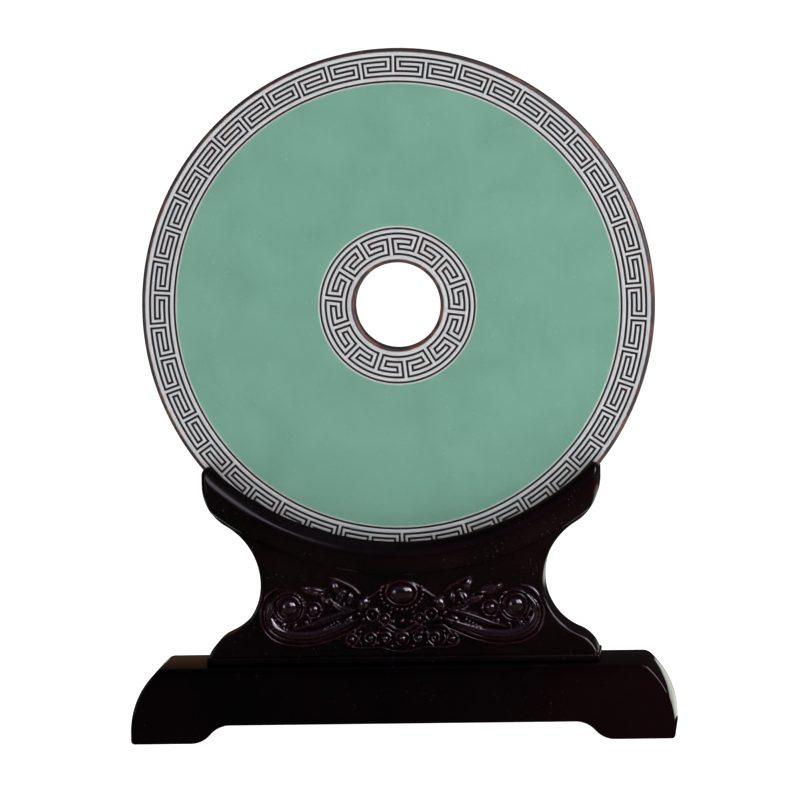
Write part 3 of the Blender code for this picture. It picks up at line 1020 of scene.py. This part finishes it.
@dataclass(frozen=True)
class Ring:
    """A carved ring, round or oval."""

    x: float
    z: float
    radius: float
    half_width: float
    rise: float
    flat: float = 1.0

    def height(self, x: np.ndarray, z: np.ndarray) -> np.ndarray:
        """Measure the ring's height over points of the panel.

        Args:
            x: The points' distances from the middle.
            z: Their heights over the panel's foot.

        Returns:
            The heights, 0 outside the ring.
        """
        reach = np.hypot(x - self.x, (z - self.z) / self.flat)
        return self.rise * np.sqrt(np.clip(1 - ((reach - self.radius) / self.half_width) ** 2, 0, None))


@dataclass(frozen=True)
class Strand:
    """A carved strand along a smooth line, thinner at its ends, with an incised line beside its crest."""

    points: tuple[Point, ...]
    half_widths: tuple[float, ...]
    rise: float
    line_at: float = 0.0
    line_depth: float = 0.0

    def sampled(self, steps: int = 7) -> np.ndarray:
        """Return the smooth line's points with its half width at each.

        Args:
            steps: Points for each stretch.

        Returns:
            Rows of x, z and half width.
        """
        knots = np.column_stack([np.array(self.points), np.array(self.half_widths)])
        knots = np.vstack([2 * knots[0] - knots[1], knots, 2 * knots[-1] - knots[-2]])
        rows = []
        for before, here, after, later in zip(knots, knots[1:], knots[2:], knots[3:]):
            for share in np.linspace(0, 1, steps, endpoint=False):
                rows.append(here + (after - before) * share / 2
                            + (2 * before - 5 * here + 4 * after - later) * share ** 2 / 2
                            + (3 * here - before - 3 * after + later) * share ** 3 / 2)
        rows.append(knots[-2])
        return np.array(rows)

    def height(self, x: np.ndarray, z: np.ndarray) -> np.ndarray:
        """Measure the strand's height over points of the panel.

        Args:
            x: The points' distances from the middle.
            z: Their heights over the panel's foot.

        Returns:
            The heights, 0 outside the strand.
        """
        line = self.sampled()
        best = np.full(x.shape, 1e9)
        sign = np.zeros(x.shape)
        for start, end in zip(line, line[1:]):
            run = end[:2] - start[:2]
            share = np.clip(((x - start[0]) * run[0] + (z - start[1]) * run[1]) / max(run @ run, 1e-12), 0, 1)
            off_x, off_z = x - start[0] - share * run[0], z - start[1] - share * run[1]
            width = np.maximum(start[2] + (end[2] - start[2]) * share, 0.00005)
            reach = np.hypot(off_x, off_z) / width
            nearer = reach < best
            best = np.where(nearer, reach, best)
            sign = np.where(nearer, np.sign(run[0] * off_z - run[1] * off_x), sign)
        body = self.rise * np.sqrt(np.clip(1 - best ** 2, 0, None))
        if self.line_depth:
            body = body - self.line_depth * np.exp(-((best * sign - self.line_at) / 0.13) ** 2) * (best < 1)
        return body


def curl(x: float, z: float, radius: float, turns: float, start: float, side: int, half_width: float,
         rise: float) -> Strand:
    """Make a strand that winds inwards.

    Args:
        x: The curl's centre, to the right.
        z: The curl's centre, upwards.
        radius: Its outer radius.
        turns: How often it winds.
        start: The angle where it starts, in degrees.
        side: 1 to wind from +X towards +Z, -1 the other way.
        half_width: Half the strand's width.
        rise: Its height.

    Returns:
        The strand.
    """
    count = max(4, round(turns * 8))
    points = []
    for number in range(count + 1):
        share = number / count
        reach = radius * (1 - 0.78 * share)
        angle = math.radians(start) + side * 2 * math.pi * turns * share
        points.append((x + reach * math.cos(angle), z + reach * math.sin(angle)))
    widths = tuple(half_width * (1 - 0.35 * number / count) for number in range(count + 1))
    return Strand(tuple(points), widths, rise)


Form = Swell | Ring | Strand


def bead(x: float, z: float, radius: float, rise: float) -> Swell:
    """Make a round swelling.

    Args:
        x: Its centre, to the right.
        z: Its centre, upwards.
        radius: Its radius.
        rise: Its height.

    Returns:
        The bead.
    """
    return Swell(x, z, radius, radius, rise)


@dataclass(frozen=True)
class Relief:
    """The carving on the panel's front, right half, with heights from the panel's foot.

    A jewel with beads stands in the middle. A scroll runs outwards round two bosses, with leaves and curls
    between.
    """

    soft: float = 0.00030

    def jewel(self) -> list[Form]:
        """Carve the jewel.

        Returns:
            The jewel, its rim, its beads and the small forms below it.
        """
        z = 0.0412
        parts = [Swell(0, z, 0.0074, 0.0056, 0.0048), Ring(0, z, 0.0090, 0.0010, 0.0028, 0.78)]
        for number in range(17):
            angle = math.pi * (number / 16 * 1.24 - 1.12)
            parts.append(bead(0.0124 * math.cos(angle), z + 0.0098 * math.sin(angle), 0.00118, 0.0028))
        parts += [
            Swell(0, 0.0248, 0.0018, 0.0016, 0.0034), Swell(0.0054, 0.0246, 0.0016, 0.0014, 0.0034),
            Swell(0, 0.0144, 0.0027, 0.0026, 0.0042), Ring(0, 0.0144, 0.0038, 0.0007, 0.0022),
            Strand(((0, 0.0195), (0.0040, 0.0202), (0.0078, 0.0228), (0.0112, 0.0222)), (0.0009,) * 4,
                   0.0019),
            Strand(((0, 0.0172), (0.0050, 0.0181), (0.0095, 0.0205), (0.0135, 0.0212)), (0.0007,) * 4,
                   0.0013),
        ]
        return parts

    def scroll(self) -> list[Form]:
        """Carve the scroll that runs from the middle round the boss.

        Returns:
            The scroll, the line beside it, its bosses and its beads.
        """
        sweep = ((0.0255, 0.0262), (0.0320, 0.0232), (0.0400, 0.0200), (0.0485, 0.0172), (0.0580, 0.0160),
                 (0.0680, 0.0172), (0.0750, 0.0212), (0.0783, 0.0275), (0.0772, 0.0345), (0.0730, 0.0400))
        widths = (0.0008, 0.0026, 0.0036, 0.0042, 0.0043, 0.0042, 0.0040, 0.0034, 0.0024, 0.0008)
        line = ((0.0250, 0.0215), (0.0330, 0.0175), (0.0430, 0.0135), (0.0560, 0.0108), (0.0700, 0.0120),
                (0.0790, 0.0175), (0.0828, 0.0265), (0.0815, 0.0360), (0.0762, 0.0430), (0.0690, 0.0455))
        inner = ((0.0630, 0.0208), (0.0540, 0.0226), (0.0450, 0.0258), (0.0360, 0.0290), (0.0280, 0.0312))
        return [
            Strand(sweep, widths, 0.0043, -0.42, 0.0012),
            Strand(line, (0.0004,) + (0.0009,) * 8 + (0.0004,), 0.0020),
            Strand(inner, (0.0006, 0.0018, 0.0024, 0.0021, 0.0010), 0.0039, 0.3, 0.0009),
            bead(0.0663, 0.0333, 0.0105, 0.0014), bead(0.0663, 0.0333, 0.0056, 0.0050),
            Ring(0.0663, 0.0333, 0.0071, 0.0009, 0.0036), Ring(0.0663, 0.0333, 0.0090, 0.0009, 0.0030),
            bead(0.0518, 0.0318, 0.0034, 0.0038), Ring(0.0518, 0.0318, 0.0046, 0.0007, 0.0019),
            bead(0.0693, 0.0232, 0.0020, 0.0038), Ring(0.0693, 0.0232, 0.0029, 0.0006, 0.0026),
            bead(0.0560, 0.0246, 0.0018, 0.0034), Ring(0.0560, 0.0246, 0.0027, 0.0005, 0.0022),
            bead(0.0578, 0.0300, 0.0010, 0.0024), bead(0.0742, 0.0262, 0.0013, 0.0036),
            Swell(0.0628, 0.0226, 0.0024, 0.0011, 0.0034, -55), bead(0.0757, 0.0305, 0.0011, 0.0034),
            Swell(0.0574, 0.0346, 0.0019, 0.0013, 0.0042, 70),
            Swell(0.0582, 0.0380, 0.0017, 0.0012, 0.0040, 40),
            Swell(0.0606, 0.0408, 0.0016, 0.0011, 0.0037, 15),
            Swell(0.0470, 0.0318, 0.0017, 0.0013, 0.0038, 80),
            Swell(0.0492, 0.0279, 0.0018, 0.0011, 0.0036, -20), Swell(0.0535, 0.0272, 0.0013, 0.0011, 0.0036),
        ]

    def leaves(self) -> list[Form]:
        """Carve what grows between the jewel and the boss.

        Returns:
            The leaves, knobs, small flowers and tendrils.
        """
        calyx = ((0.0425, 0.0405), (0.0405, 0.0362), (0.0365, 0.0332), (0.0318, 0.0318), (0.0275, 0.0316))
        tendril = ((0.0240, 0.0405), (0.0280, 0.0445), (0.0335, 0.0475), (0.0395, 0.0502), (0.0430, 0.0512))
        arch = ((0.0, 0.0486), (0.0050, 0.0477), (0.0115, 0.0440), (0.0170, 0.0400), (0.0205, 0.0385))
        parts = [
            Swell(0.0515, 0.0430, 0.0078, 0.0030, 0.0031, 14, 1.7, 0.35),
            Swell(0.0560, 0.0447, 0.0027, 0.0016, 0.0044, 18),
            Swell(0.0470, 0.0412, 0.0024, 0.0017, 0.0044, -20),
            Swell(0.0386, 0.0452, 0.0046, 0.0026, 0.0048, 68, 1.8, 0.2),
            Swell(0.0336, 0.0425, 0.0024, 0.0019, 0.0045, 40),
            Swell(0.0366, 0.0384, 0.0056, 0.0026, 0.0042, 118, 1.7, 0.35),
            Swell(0.0300, 0.0385, 0.0040, 0.0021, 0.0040, 100, 1.7, 0.25),
            Swell(0.0440, 0.0372, 0.0042, 0.0020, 0.0028, 30, 1.7, 0.3),
            bead(0.0338, 0.0352, 0.0013, 0.0033),
            Swell(0.0224, 0.0350, 0.0050, 0.0033, 0.0050, 112, 2.0),
            Swell(0.0312, 0.0262, 0.0038, 0.0021, 0.0048, -42, 1.9),
            Swell(0.0252, 0.0294, 0.0021, 0.0016, 0.0044, 30), Swell(0.0226, 0.0262, 0.0017, 0.0015, 0.0040),
            Swell(0.0064, 0.0300, 0.0013, 0.0011, 0.0030), Swell(0.0134, 0.0244, 0.0013, 0.0011, 0.0032),
            bead(0.0102, 0.0262, 0.0021, 0.0040), Ring(0.0102, 0.0262, 0.0031, 0.0007, 0.0022),
            Ring(0.0172, 0.0288, 0.0035, 0.0012, 0.0040), bead(0.0172, 0.0292, 0.0016, 0.0040),
            bead(0.0192, 0.0364, 0.0013, 0.0036), bead(0.0146, 0.0322, 0.0012, 0.0034),
            Strand(calyx, (0.0006, 0.0016, 0.0021, 0.0018, 0.0008), 0.0038, 0.0, 0.0009),
            Strand(tendril, (0.0004, 0.0010, 0.0012, 0.0010, 0.0004), 0.0026),
            Strand(arch, (0.0009, 0.0009, 0.0009, 0.0009, 0.0005), 0.0018),
        ]
        for number in range(5):
            share = number / 4
            parts.append(Swell(0.0374 + 0.0078 * share, 0.0250 - 0.0042 * share, 0.0024 - 0.0006 * share,
                               0.0011, 0.0050 - 0.0006 * share, 62))
        return parts

    def lower_row(self) -> list[Form]:
        """Carve the row under the jewel.

        Returns:
            Its curls, beads and stems, and the lobed line below them.
        """
        edge = ((0.0335, 0.0140), (0.0322, 0.0112), (0.0270, 0.0092), (0.0200, 0.0090), (0.0130, 0.0092),
                (0.0085, 0.0080), (0.0040, 0.0068), (0.0, 0.0065))
        stem = ((0.0285, 0.0172), (0.0268, 0.0200), (0.0240, 0.0222), (0.0205, 0.0228))
        hook = ((0.0246, 0.0165), (0.0252, 0.0135), (0.0235, 0.0112))
        return [
            curl(0.0190, 0.0148, 0.0043, 1.5, 250, -1, 0.0012, 0.0038),
            curl(0.0095, 0.0148, 0.0036, 1.2, 60, 1, 0.0012, 0.0037),
            Strand(stem, (0.0007, 0.0010, 0.0010, 0.0005), 0.0024),
            Strand(hook, (0.0006, 0.0009, 0.0005), 0.0022), Strand(edge, (0.0004,) + (0.0008,) * 7, 0.0014),
            bead(0.0295, 0.0142, 0.0022, 0.0040), Ring(0.0295, 0.0142, 0.0032, 0.0007, 0.0020),
            bead(0.0190, 0.0148, 0.0014, 0.0040), bead(0.0095, 0.0148, 0.0018, 0.0042),
            Swell(0.0062, 0.0101, 0.0016, 0.0014, 0.0034), Swell(0.0143, 0.0118, 0.0013, 0.0012, 0.0032),
            Swell(0.0143, 0.0180, 0.0014, 0.0013, 0.0034), Swell(0.0245, 0.0186, 0.0013, 0.0013, 0.0034),
        ]

    def height(self, x: np.ndarray, z: np.ndarray) -> np.ndarray:
        """Return the carving's height over points of the panel, each side the other's mirror image.

        Args:
            x: Distances from the middle.
            z: Heights over the panel's foot.

        Returns:
            Heights over the panel's face, with soft joints between the forms.
        """
        total = np.zeros(x.shape)
        for part in self.jewel() + self.scroll() + self.leaves() + self.lower_row():
            rise = part.height(np.abs(x), z)
            joint = np.clip(self.soft - np.abs(total - rise), 0, None) ** 2 / (4 * self.soft)
            total = np.maximum(total, rise) + joint * (np.minimum(total, rise) > 0)
        return total


@dataclass
class CradlePanel:
    """The waisted upright board with its groove, the roll along its lip, the relief and the foot strip."""

    node: str = "cradle_panel"
    slot: str = "panel_lacquer"
    depth: float = 0.042
    foot_half_width: float = 0.115
    foot_curve: float = 0.020
    waist_half_width: float = 0.0827
    waist_height: float = 0.0467
    waist_lower_curve: float = 0.033
    horn_curve: float = 0.028
    horn_flank: float = 0.0063
    tip_round: float = 0.004
    strip_height: float = 0.0042
    strip_round: float = 0.0012
    seat_height: float = 0.058
    lip_cover: float = 0.012
    lip_radius: float = 0.1606
    roll_width: float = 0.0194
    crown_share: float = 0.52
    crease_depth: float = 0.0020
    lip_depth: float = 0.0096
    side_gap: float = 0.0004
    rest_gap: float = 0.0003
    edge_round: float = 0.0020
    pillow: float = 0.0085
    sunk: float = 0.0002
    crown_power: float = 2.6
    flank_power: float = 2.2
    roll_soft: float = 0.0006
    roll_spare: float = 0.0008
    roll_floor: float = 0.0002
    room_inset: float = 0.0009
    groove_spare: float = 0.001
    horn_reach: float = 0.02
    relief_bottom: float = 0.0055
    relief_top: float = 0.0530
    relief_half_width: float = 0.0860
    relief_margin: float = 0.0032
    relief_buried: float = 0.00025
    relief_slab: float = 0.003
    ridge_height: float = 0.004
    ridge_blur: int = 12

    def __post_init__(self) -> None:
        """Take the outer size from the frame, and the disc's place from its node."""
        low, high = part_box(self.node)
        self.foot_z = low.z
        self.horn_half_width = high.x
        self.roll_half_depth = high.y
        disc_low, disc_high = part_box("bi_disc")
        self.disc_z = (disc_low.z + disc_high.z) / 2
        self.disc_radius = (disc_high.z - disc_low.z) / 2
        self.wall = disc_high.y + self.side_gap
        self.lip_z = self.foot_z + self.seat_height + self.lip_cover + self.lip_radius
        self.crease_radius = self.lip_radius + self.roll_width

    def outline(self) -> OutlinePen:
        """Draw the right half, from the foot's middle to the horn's tip and straight across.

        Returns:
            The pen that holds the outline.
        """
        waist_z = self.foot_z + self.waist_height
        start_z = self.foot_z + self.strip_height
        foot_x = self.foot_half_width - self.foot_curve
        low_x = self.waist_half_width + self.waist_lower_curve
        foot_z = waist_z - math.sqrt((self.waist_lower_curve + self.foot_curve) ** 2 - (low_x - foot_x) ** 2)
        lean = math.atan2(waist_z - foot_z, low_x - foot_x)
        begin = math.asin((start_z - foot_z) / self.foot_curve)
        pen = OutlinePen(0.0, self.foot_z + self.sunk)
        pen.line(foot_x + self.foot_curve * math.cos(begin), self.foot_z + self.sunk)
        pen.line(foot_x + self.foot_curve * math.cos(begin), start_z)
        pen.arc((foot_x, foot_z), lean - begin)
        pen.arc((low_x, waist_z), -lean)
        tip_x = self.horn_half_width - self.tip_round
        tip_z = self.lip_z - math.sqrt(self.lip_radius ** 2 - tip_x ** 2) - self.tip_round
        horn_x, horn_z = self.horn_half_width - self.horn_curve, tip_z - self.horn_flank
        inset, climb = horn_x - self.waist_half_width, horn_z - waist_z
        curve = (inset ** 2 + climb ** 2 - self.horn_curve ** 2) / (2 * (inset + self.horn_curve))
        lean = math.atan2(climb, self.waist_half_width + curve - horn_x)
        pen.arc((self.waist_half_width + curve, waist_z), -lean)
        pen.arc((horn_x, horn_z), lean)
        pen.line(self.horn_half_width, tip_z)
        pen.arc((tip_x, tip_z), math.pi / 2, math.radians(10))
        self.side = [point for point in pen.points() if point[0] > 0]
        pen.line(0.0, tip_z + self.tip_round)
        return pen

    def half_width_at(self, z: np.ndarray) -> np.ndarray:
        """Return the panel's half width at a height."""
        rising = sorted((height, x) for x, height in self.side)
        return np.interp(z, [height for height, _ in rising], [x for _, x in rising])

    def board(self) -> bpy.types.Object:
        """Build the board, cut back where the rolls and the disc lie.

        Returns:
            The board.
        """
        bm = self.outline().mirrored_face()
        thicken(bm, self.depth)
        round_rims(bm, self.depth, self.edge_round)
        piece = make_piece("waisted_panel", bm)
        inside, far, groove = self.crease_radius - self.room_inset, self.depth, self.wall + self.groove_spare
        cut_away(piece, [
            cylinder("front_room", self.lip_z, inside, -far, -self.wall),
            cylinder("back_room", self.lip_z, inside, self.wall, far),
            cylinder("groove", self.disc_z, self.disc_radius + self.rest_gap, -groove, groove)])
        return piece

    def roll_depth_at(self, share: np.ndarray) -> np.ndarray:
        """Return how far the roll stands from the middle plane, across its width.

        Args:
            share: 0 at the lip, 1 at the crease.

        Returns:
            The distances.
        """
        crease = self.depth / 2 - self.crease_depth
        up = np.clip((self.crown_share - share) / self.crown_share, 0, 1)
        down = np.clip((share - self.crown_share) / (1 - self.crown_share), 0, 1)
        crown = (1 - up ** self.crown_power) ** (1 / self.crown_power)
        upper = self.lip_depth + (self.roll_half_depth - self.lip_depth) * crown
        lower = crease + (self.roll_half_depth - crease) * np.sqrt(1 - down ** self.flank_power)
        return np.where(share < self.crown_share, upper, lower)

    def roll(self, side: Side, across: int = 260, up: int = 34) -> bpy.types.Object:
        """Build the roll along the lip, from horn to horn, on one face.

        Args:
            side: The face.
            across: Cells from horn to horn.
            up: Cells from the lip to the crease.

        Returns:
            The roll, a closed solid.
        """
        bm, verts, flat = unit_grid(across, up)
        share = (1 - np.cos(math.pi * (flat[:, 1] + 1) / 2)) / 2
        radius = self.lip_radius + self.roll_width * share
        ends = [(math.hypot(x, self.lip_z - z), math.atan2(x, self.lip_z - z)) for x, z in self.side]
        ends = sorted(end for end in ends if end[0] < self.crease_radius + self.horn_reach)
        limit = np.interp(radius, [end[0] for end in ends], [end[1] for end in ends])
        angle = np.sin(flat[:, 0] * math.pi / 2) * limit
        gap = np.clip((limit - np.abs(angle)) * radius / self.pillow, 0, 1)
        edge = self.depth / 2 - self.edge_round
        ceiling = edge + (self.roll_half_depth + self.roll_spare - edge) * np.sqrt(1 - (1 - gap) ** 2)
        profile, soft = self.roll_depth_at(share), self.roll_soft
        depth = (profile + ceiling - np.sqrt((profile - ceiling) ** 2 + soft ** 2)) / 2 + soft * 0.25
        depth = np.clip(depth, self.wall + self.roll_floor, self.roll_half_depth)
        for vert, turn, reach, out in zip(verts, angle, radius, depth):
            vert.co = (reach * math.sin(turn), side.value * out, self.lip_z - reach * math.cos(turn))
        close_behind(bm, side.value * self.wall)
        return make_piece(side.name.lower() + "_roll", bm)

    def strip(self) -> bpy.types.Object:
        """Build the thin moulded strip under the panel.

        Returns:
            The strip.
        """
        bm = bmesh.new()
        size = (2 * self.foot_half_width, 2 * self.roll_half_depth, self.strip_height)
        place = Matrix.Translation((0, 0, self.foot_z + self.strip_height / 2)) @ Matrix.Diagonal((*size, 1))
        bmesh.ops.create_cube(bm, size=1.0, matrix=place)
        bmesh.ops.bevel(bm, geom=bm.edges[:], offset=self.strip_round, offset_type="OFFSET", affect="EDGES",
                        segments=4, profile=0.5, material=-1, clamp_overlap=False)
        return make_piece("foot_strip", bm)

    def relief(self, across: int = 560, up: int = 165) -> bpy.types.Object:
        """Build the carving as a fine slab in the board's face, with its blurred height as "ridge".

        Args:
            across: Cells from side to side.
            up: Cells from bottom to top.

        Returns:
            The carving, a closed solid.
        """
        low_z, high_z = self.foot_z + self.relief_bottom, self.foot_z + self.relief_top
        buried = self.depth / 2 - self.relief_buried
        bm, verts, flat = unit_grid(across, up)
        z = low_z + (high_z - low_z) * (flat[:, 1] + 1) / 2
        x = flat[:, 0] * np.minimum(self.relief_half_width, self.half_width_at(z) - self.relief_margin)
        rise = Relief().height(x, z - self.foot_z)
        for vert, place_x, place_z, out in zip(verts, x, z, rise):
            vert.co = (place_x, -buried - out, place_z)
        close_behind(bm, -buried + self.relief_slab)
        piece = make_piece("scroll_relief", bm, math.radians(60))
        near = rise.reshape(up + 1, across + 1) / self.ridge_height
        for _ in range(self.ridge_blur):
            for axis in (0, 1):
                near = (np.roll(near, 1, axis) + near + np.roll(near, -1, axis)) / 3
        level = np.zeros(len(piece.data.vertices), dtype=np.float32)
        level[:near.size] = np.clip(near.ravel(), 0, 1)
        piece.data.attributes.new("ridge", "FLOAT", "POINT").data.foreach_set("value", level)
        return piece

    def build(self) -> list[bpy.types.Object]:
        """Returns:
            The finished pieces.
        """
        lacquer = Lacquer("panel_lacquer", lit_side_from=-0.05, lit_side_to=0.20, grain_turn=math.radians(90)).build()
        carved = Lacquer("carved_lacquer", lit_side_from=-0.05, lit_side_to=0.20, ridge_attribute="ridge",
                         gloss=1.0, index=1.75, polish=(0.09, 0.16), dusty=0.10).build()
        pieces = [self.board(), self.roll(Side.FRONT), self.roll(Side.BACK), self.strip(), self.relief()]
        for piece in pieces:
            piece.data.materials.clear()
            piece.data.materials.append(carved if piece.name == "scroll_relief" else lacquer)
            declare(piece, [self.node])
        return pieces


@dataclass(frozen=True)
class SoftBox:
    """A rectangular soft light."""

    name: str
    place: Triple
    aim: Triple
    size: Point
    radiance: float
    tint: Triple = (0.97, 0.96, 1.0)

    def hang(self) -> None:
        """Hang the light where it belongs."""
        data = bpy.data.lights.new(self.name, "AREA")
        data.shape = "RECTANGLE"
        data.size, data.size_y = self.size
        data.energy = self.radiance * math.pi * self.size[0] * self.size[1]
        data.color = self.tint
        light = bpy.data.objects.new(self.name, data)
        turn = (Vector(self.aim) - Vector(self.place)).to_track_quat("-Z", "Y").to_matrix().to_4x4()
        light.matrix_world = Matrix.Translation(self.place) @ turn
        bpy.context.scene.collection.objects.link(light)


@dataclass
class Studio:
    """A pale floor, soft lights and the camera at the photograph's angle."""

    azimuth: float = math.radians(3.56)
    elevation: float = math.radians(4.05)
    roll: float = math.radians(-1.10)
    target: Triple = (-0.0001, 0.0, 0.1967)
    distance: float = 3.800
    focal_share: float = 6489 / 800
    sensor: float = 36.0
    floor_glow: float = 1.22
    table_middle: Triple = (0.2, 0.52, 0.0004)
    table_size: Triple = (1.5, 0.9, 1)
    horizon_lift: float = 0.05
    boxes: tuple[SoftBox, ...] = (
        SoftBox("key_box", (1.12, -1.32, 1.40), (0, 0, 0.2), (1.20, 1.30), 2.75),
        SoftBox("left_box", (-1.30, -1.00, 0.40), (0, 0, 0.2), (0.60, 0.70), 1.6),
        SoftBox("right_box", (1.15, -0.18, 0.78), (0, 0, 0.15), (0.62, 0.75), 8.5, (0.98, 0.96, 1.0)))

    # The room's colours by height: in front, behind, and low down behind to the left
    FRONT: ClassVar[Stops] = ((0.0, (0.060, 0.046, 0.038)), (0.02, (0.006, 0.005, 0.008)),
                              (0.25, (0.010, 0.008, 0.018)), (0.55, (0.05, 0.045, 0.08)),
                              (1.0, (0.06, 0.06, 0.08)))
    BACK: ClassVar[Stops] = ((0.0, (0.012, 0.009, 0.008)), (0.50, (0.010, 0.010, 0.012)),
                             (1.0, (0.06, 0.06, 0.07)))
    SHELF: ClassVar[Stops] = ((0.0, (0.012, 0.009, 0.008)), (0.052, (0.060, 0.030, 0.016)),
                              (0.25, (0.040, 0.020, 0.012)), (0.35, (0.010, 0.010, 0.012)))

    def camera(self) -> None:
        """Place the camera."""
        forward = Vector((-math.sin(self.azimuth) * math.cos(self.elevation),
                          math.cos(self.azimuth) * math.cos(self.elevation), -math.sin(self.elevation)))
        right = forward.cross(Vector((0, 0, 1))).normalized()
        up = right.cross(forward)
        cos, sin = math.cos(self.roll), math.sin(self.roll)
        right, up = right * cos + up * sin, up * cos - right * sin
        data = bpy.data.cameras.new("view")
        data.sensor_width = self.sensor
        data.lens = self.focal_share * self.sensor
        data.clip_end = 200.0
        camera = bpy.data.objects.new("view", data)
        turn = Matrix((right, up, -forward)).transposed().to_4x4()
        camera.matrix_world = Matrix.Translation(Vector(self.target) - forward * self.distance) @ turn
        bpy.context.scene.collection.objects.link(camera)
        bpy.context.scene.camera = camera

    def floor(self) -> None:
        """Lay the floor."""
        bm = bmesh.new()
        bmesh.ops.create_grid(bm, x_segments=8, y_segments=8, size=60.0)
        floor = make_piece("studio_floor", bm)
        sketch = ShaderSketch("pale_floor")
        tone = sketch.ramp(sketch.noise(3, 3), [(0.3, paint(240, 240, 240)), (0.7, paint(244, 244, 244))])
        sketch.set(base_color=tone, emission_color=tone, emission_strength=self.floor_glow, roughness=0.9,
                   specular_ior_level=0.0)
        floor.data.materials.append(sketch.material)
        floor.visible_glossy = False

    def table(self) -> None:
        """Lay a pale table top behind the stand that only the gloss shows."""
        bm = bmesh.new()
        place = Matrix.Translation(self.table_middle) @ Matrix.Diagonal((*self.table_size, 1))
        bmesh.ops.create_grid(bm, x_segments=6, y_segments=4, size=0.5, matrix=place)
        table = make_piece("reflected_table", bm)
        sketch = ShaderSketch("pale_table")
        tone = sketch.ramp(sketch.noise(5, 3), [(0.3, paint(176, 182, 170)), (0.7, paint(190, 194, 184))])
        sketch.set(base_color=tone, emission_color=tone, emission_strength=1.0)
        table.data.materials.append(sketch.material)
        table.visible_camera = table.visible_diffuse = table.visible_shadow = False

    def sky(self, sketch: NodeSketch, height: Socket, stops: Stops) -> Socket:
        """Colour the room by height.

        Args:
            sketch: The world's nodes.
            height: The direction's height, from -1 to 1.
            stops: Heights and their colours.

        Returns:
            The colour.
        """
        return sketch.ramp(height, [(position, (*colour, 1.0)) for position, colour in stops])

    def room(self) -> None:
        """Light the room: nearly dark, warmer low down, cooler overhead, brown low behind to the left."""
        world = bpy.data.worlds.new("room")
        world.use_nodes = True
        sketch = NodeSketch(world.node_tree, "Generated")
        x, y, z = sketch.axes()
        lifted = sketch.math("ADD", z, self.horizon_lift)
        leftwards = sketch.span(x, -0.04, -0.10, smooth=False)
        back = sketch.mix(leftwards, self.sky(sketch, lifted, self.BACK),
                          self.sky(sketch, lifted, self.SHELF))
        behind = sketch.span(y, -0.2, 0.2, smooth=False)
        colour = sketch.mix(behind, self.sky(sketch, z, self.FRONT), back)
        sketch.feed(world.node_tree.nodes["Background"].inputs["Color"], colour)
        bpy.context.scene.world = world

    def build(self) -> None:
        """Set up the room, the lights and the camera."""
        self.camera()
        self.floor()
        self.table()
        self.room()
        for box in self.boxes:
            box.hang()
        bpy.context.scene.view_settings.view_transform = "Standard"


def main() -> None:
    """Build the disc, the stand and the studio."""
    logging.basicConfig(level=logging.INFO, format="%(name)s: %(message)s")
    Studio().build()
    BiDisc().build()
    CradlePanel().build()
    BaseBoard().build()


if __name__ == "__main__":
    main()
